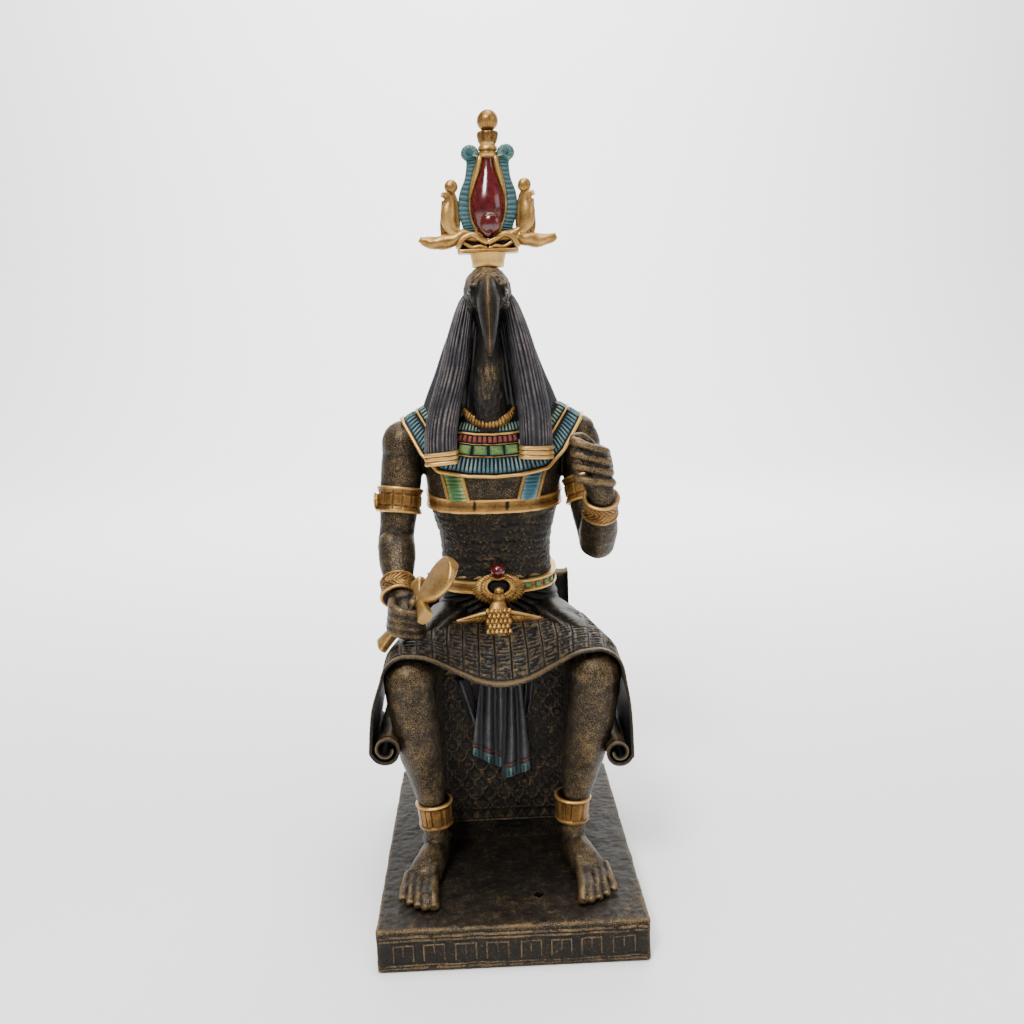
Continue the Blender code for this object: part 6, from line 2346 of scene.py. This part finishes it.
    def plumes(self, shop: Shop) -> None:
        """Builds the turquoise plumes with ribs, gilt inner edges and curled tips.

        Args:
            shop: takes the finished pieces.
        """
        vanes, gilt = [], []
        for sign in (-1, 1):
            rows = eased([(4.2, 9.2, 13.6), (6.0, 10.0, 17.0), (6.9, 11.5, 22.0), (6.5, 10.9, 28.6),
                          (5.4, 8.9, 34.0), (4.0, 8.2, 39.0), (4.0, 8.6, 41.6)], 100)
            inner = np.stack([rows[:, 0], rows[:, 2] + 0.6], axis=1)
            outer = np.stack([rows[:, 1], rows[:, 2]], axis=1)
            share = np.linspace(0, 1, 26)
            rings = []
            for k in range(100):
                run = share[:, None] * (outer[k] - inner[k]) + inner[k]
                rib = 0.26 * np.sin(k * 1.25 - share * 5.5)
                bulge = 1.6 * np.sqrt(np.clip(1 - (2 * share - 1) ** 4, 0, 1)) + rib
                front = np.stack([sign * run[:, 0], -bulge, run[:, 1] - 0.8 * share], axis=1)
                back = front[::-1] * (1, -1, 1)
                rings.append(np.concatenate([front, back]))
            vanes.append(skinned(np.array(rings)).rubbed(3, 1.6))
            turn = np.linspace(math.radians(205), math.radians(-300), 80)
            reach = np.linspace(2.5, 0.2, 80)
            curl = np.stack([sign * (7.2 + reach * np.cos(turn)), np.full(80, -0.3),
                             42.2 + reach * np.sin(turn)], axis=1)
            tip = rod(curl, np.linspace(1.75, 1.35, 80), sides=16, flat=0.9, side=(0, 1, 0))
            tip.pushed(np.append(np.repeat(0.08 * np.sin(np.arange(80) * 1.6), 16), [0, 0]))
            vanes.append(tip.rubbed(3, 1.2))
            path = [(sign * x, -1.0, z) for x, z in inner[:98:3]]
            gilt.append(rod(path, 0.45, sides=8))
            gilt.append(rod([(a, 1.0, b) for a, _, b in path], 0.45, sides=8))
        whole = together(vanes)
        whole.points = self.at(whole.points)
        shop.piece("crown_plumes", whole, [TURQUOISE])
        self.gilt("crown_plume_edges", gilt, shop)

    def bulb(self, shop: Shop) -> None:
        """Builds the red bulb, its disc, the gilt frame round it, and the finial with its ball.

        Args:
            shop: takes the finished pieces.
        """
        steps = eased([(2.2, 41.4), (2.3, 39.6), (3.1, 36.0), (4.35, 32.5), (5.7, 28.5), (6.65, 24.5),
                       (6.5, 20.5), (5.45, 17.2), (3.8, 13.2), (2.4, 10.8)], 60)
        red = turned(steps, 56)
        red.points = self.at(red.points * (1, 0.80, 1))
        disc = ball((1.0, -5.2, 16.4), (4.0, 2.6, 4.0), 20, 36)
        disc.points = self.at(disc.points)
        shop.piece("crown_red_bulb", together([red, disc]), [GARNET])
        parts = []
        for sign in (-1, 1):
            heights = np.linspace(12.4, 41.2, 40)
            bulge = np.interp(heights, steps[::-1, 1], steps[::-1, 0])
            edge = np.interp(heights, (12.4, 17.0, 22.0, 28.6, 34.0, 39.0, 41.2),
                             (4.6, 6.0, 6.9, 6.5, 5.4, 4.2, 3.6))
            line = np.stack([sign * (bulge + edge) / 2, np.full(40, 0.0), heights], axis=1)
            parts.append(rod(line, np.maximum((edge - bulge) / 2, 0.0) + 0.35, sides=14, flat=2.0,
                             side=(1, 0, 0)))
        parts.append(rod([(1.0 + 2.4 * math.cos(a), -7.0, 16.9 + 2.6 * math.sin(a))
                          for a in np.linspace(0.6, 2.4, 14)], 0.28, sides=8))
        parts.append(turned([(2.2, 40.6), (3.2, 41.0), (3.6, 41.6), (3.5, 42.6), (3.2, 42.8), (3.2, 43.2),
                             (3.7, 43.6), (3.6, 44.8), (3.0, 45.2), (3.2, 46.0)], 48))
        cup = turned(eased([(3.0, 45.6), (3.6, 46.6), (4.1, 48.2), (4.2, 49.6), (3.4, 50.3),
                            (1.6, 50.5)], 24), 96)
        angle = np.arctan2(cup.points[:, 1], cup.points[:, 0])
        cup.pushed(-0.5 * step(0.2, 0.9, np.cos(angle * 6)) * step(46.0, 47.4, cup.points[:, 2])
                   * step(50.2, 49.4, cup.points[:, 2]))
        parts += [cup, ball((0, 0, 54.2), (4.05, 4.05, 4.05), 22, 40)]
        self.gilt("crown_frame_and_finial", parts, shop, 4, 0.7)

    def build(self, shop: Shop) -> None:
        """Builds the whole crown.

        Args:
            shop: takes the finished pieces.
        """
        for step_of_work in (self.foot, self.horns, self.cobras, self.plumes, self.bulb):
            step_of_work(shop)


@dataclass
class Studio:
    """Camera, pale floor and soft lamps."""

    place: tuple = (-0.0048, -0.3836, 0.2160)
    yaw: float = math.radians(1.59)
    pitch: float = math.radians(9.77)
    roll: float = math.radians(1.82)
    lens: float = 35.16

    def camera(self) -> None:
        """Sets the camera where the photograph was taken from."""
        right = Vector((math.cos(self.yaw), -math.sin(self.yaw), 0))
        ahead = Vector((math.sin(self.yaw) * math.cos(self.pitch),
                        math.cos(self.yaw) * math.cos(self.pitch), -math.sin(self.pitch)))
        down = ahead.cross(right)
        x = math.cos(self.roll) * right + math.sin(self.roll) * down
        y = math.sin(self.roll) * right - math.cos(self.roll) * down
        data = bpy.data.cameras.new("camera")
        data.lens = self.lens
        data.sensor_width = 36.0
        data.clip_start = 0.01
        camera = bpy.data.objects.new("camera", data)
        camera.matrix_world = (Matrix.Translation(self.place)
                               @ Matrix((x, y, -ahead)).transposed().to_4x4())
        bpy.context.scene.collection.objects.link(camera)
        bpy.context.scene.camera = camera

    def lamp(self, name: str, place: tuple, target: tuple, size: float, power: float) -> None:
        """Hangs a soft square lamp.

        Args:
            name: its name.
            place: where it hangs, in metres.
            target: what it looks at.
            size: its side in metres.
            power: its power in watts.
        """
        data = bpy.data.lights.new(name, "AREA")
        data.size = size
        data.energy = power
        lamp = bpy.data.objects.new(name, data)
        lamp.location = place
        lamp.rotation_euler = (Vector(target) - Vector(place)).to_track_quat("-Z", "Y").to_euler()
        bpy.context.scene.collection.objects.link(lamp)

    def build(self) -> None:
        """Builds camera, floor, lamps and surround."""
        self.camera()
        lengthwise = [(-3.0, 0.0), (1.2, 0.0)]
        lengthwise += [(1.2 + 0.8 * math.sin(a), 0.8 - 0.8 * math.cos(a))
                       for a in np.linspace(0.1, math.pi / 2, 12)]
        lengthwise.append((2.0, 4.0))
        corners = [(x, y, z) for y, z in lengthwise for x in (-4.0, 4.0)]
        data = bpy.data.meshes.new("floor")
        data.from_pydata(corners, [], [(2 * k, 2 * k + 1, 2 * k + 3, 2 * k + 2)
                                       for k in range(len(lengthwise) - 1)])
        data.shade_smooth()
        paper = bpy.data.materials.new("pale_floor_paper")
        paper.use_nodes = True
        shader = paper.node_tree.nodes["Principled BSDF"]
        shader.inputs["Base Color"].default_value = linear("fbfbfa")
        shader.inputs["Roughness"].default_value = 0.9
        data.materials.append(paper)
        floor = bpy.data.objects.new("floor", data)
        bpy.context.scene.collection.objects.link(floor)
        world = bpy.data.worlds.new("surround")
        world.use_nodes = True
        world.node_tree.nodes["Background"].inputs[0].default_value = linear("fdfdfd")
        world.node_tree.nodes["Background"].inputs[1].default_value = 0.28
        bpy.context.scene.world = world
        figure, wall, ground = (0.0, 0.0, 0.15), (0.0, 2.0, 0.9), (0.0, 0.3, 0.0)
        for name, place, target, size, power in (
                ("key_lamp", (-0.30, -0.70, 0.95), figure, 0.25, 12.0),
                ("fill_lamp", (0.80, -0.50, 0.50), figure, 0.5, 2.0),
                ("top_lamp", (0.05, 0.05, 1.10), figure, 0.4, 4.0),
                ("rim_lamp", (0.4, 0.8, 0.7), figure, 0.5, 3.0),
                ("wall_lamp", (0.0, 0.75, 1.5), wall, 1.6, 80.0),
                ("floor_lamp", (0.0, -0.2, 2.2), ground, 2.0, 42.0)):
            self.lamp(name, place, target, size, power)


def main() -> None:
    """Builds every piece in order, hides the imported castings and sets up the studio."""
    logging.basicConfig(level=logging.INFO, format="%(name)s: %(message)s")
    shop = Shop()
    for part in (Plinth(), Throne(), Legs(), UpperBody(), Trunk(), Head(), Wig(), Collar(), Dress(),
                 Cuffs(), Buckle(), Papyrus(), Sash(), Ankh(), Crown()):
        part.build(shop)
    by_name = {made.name: made for made in shop.made}
    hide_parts("statue")
    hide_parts("ankh")
    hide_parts("crown")
    Studio().build()
    LOG.info("%d pieces, %d faces", len(shop.made), sum(len(m.data.polygons) for m in shop.made))
    bpy.context.view_layer.update()


if __name__ == "__main__":
    main()
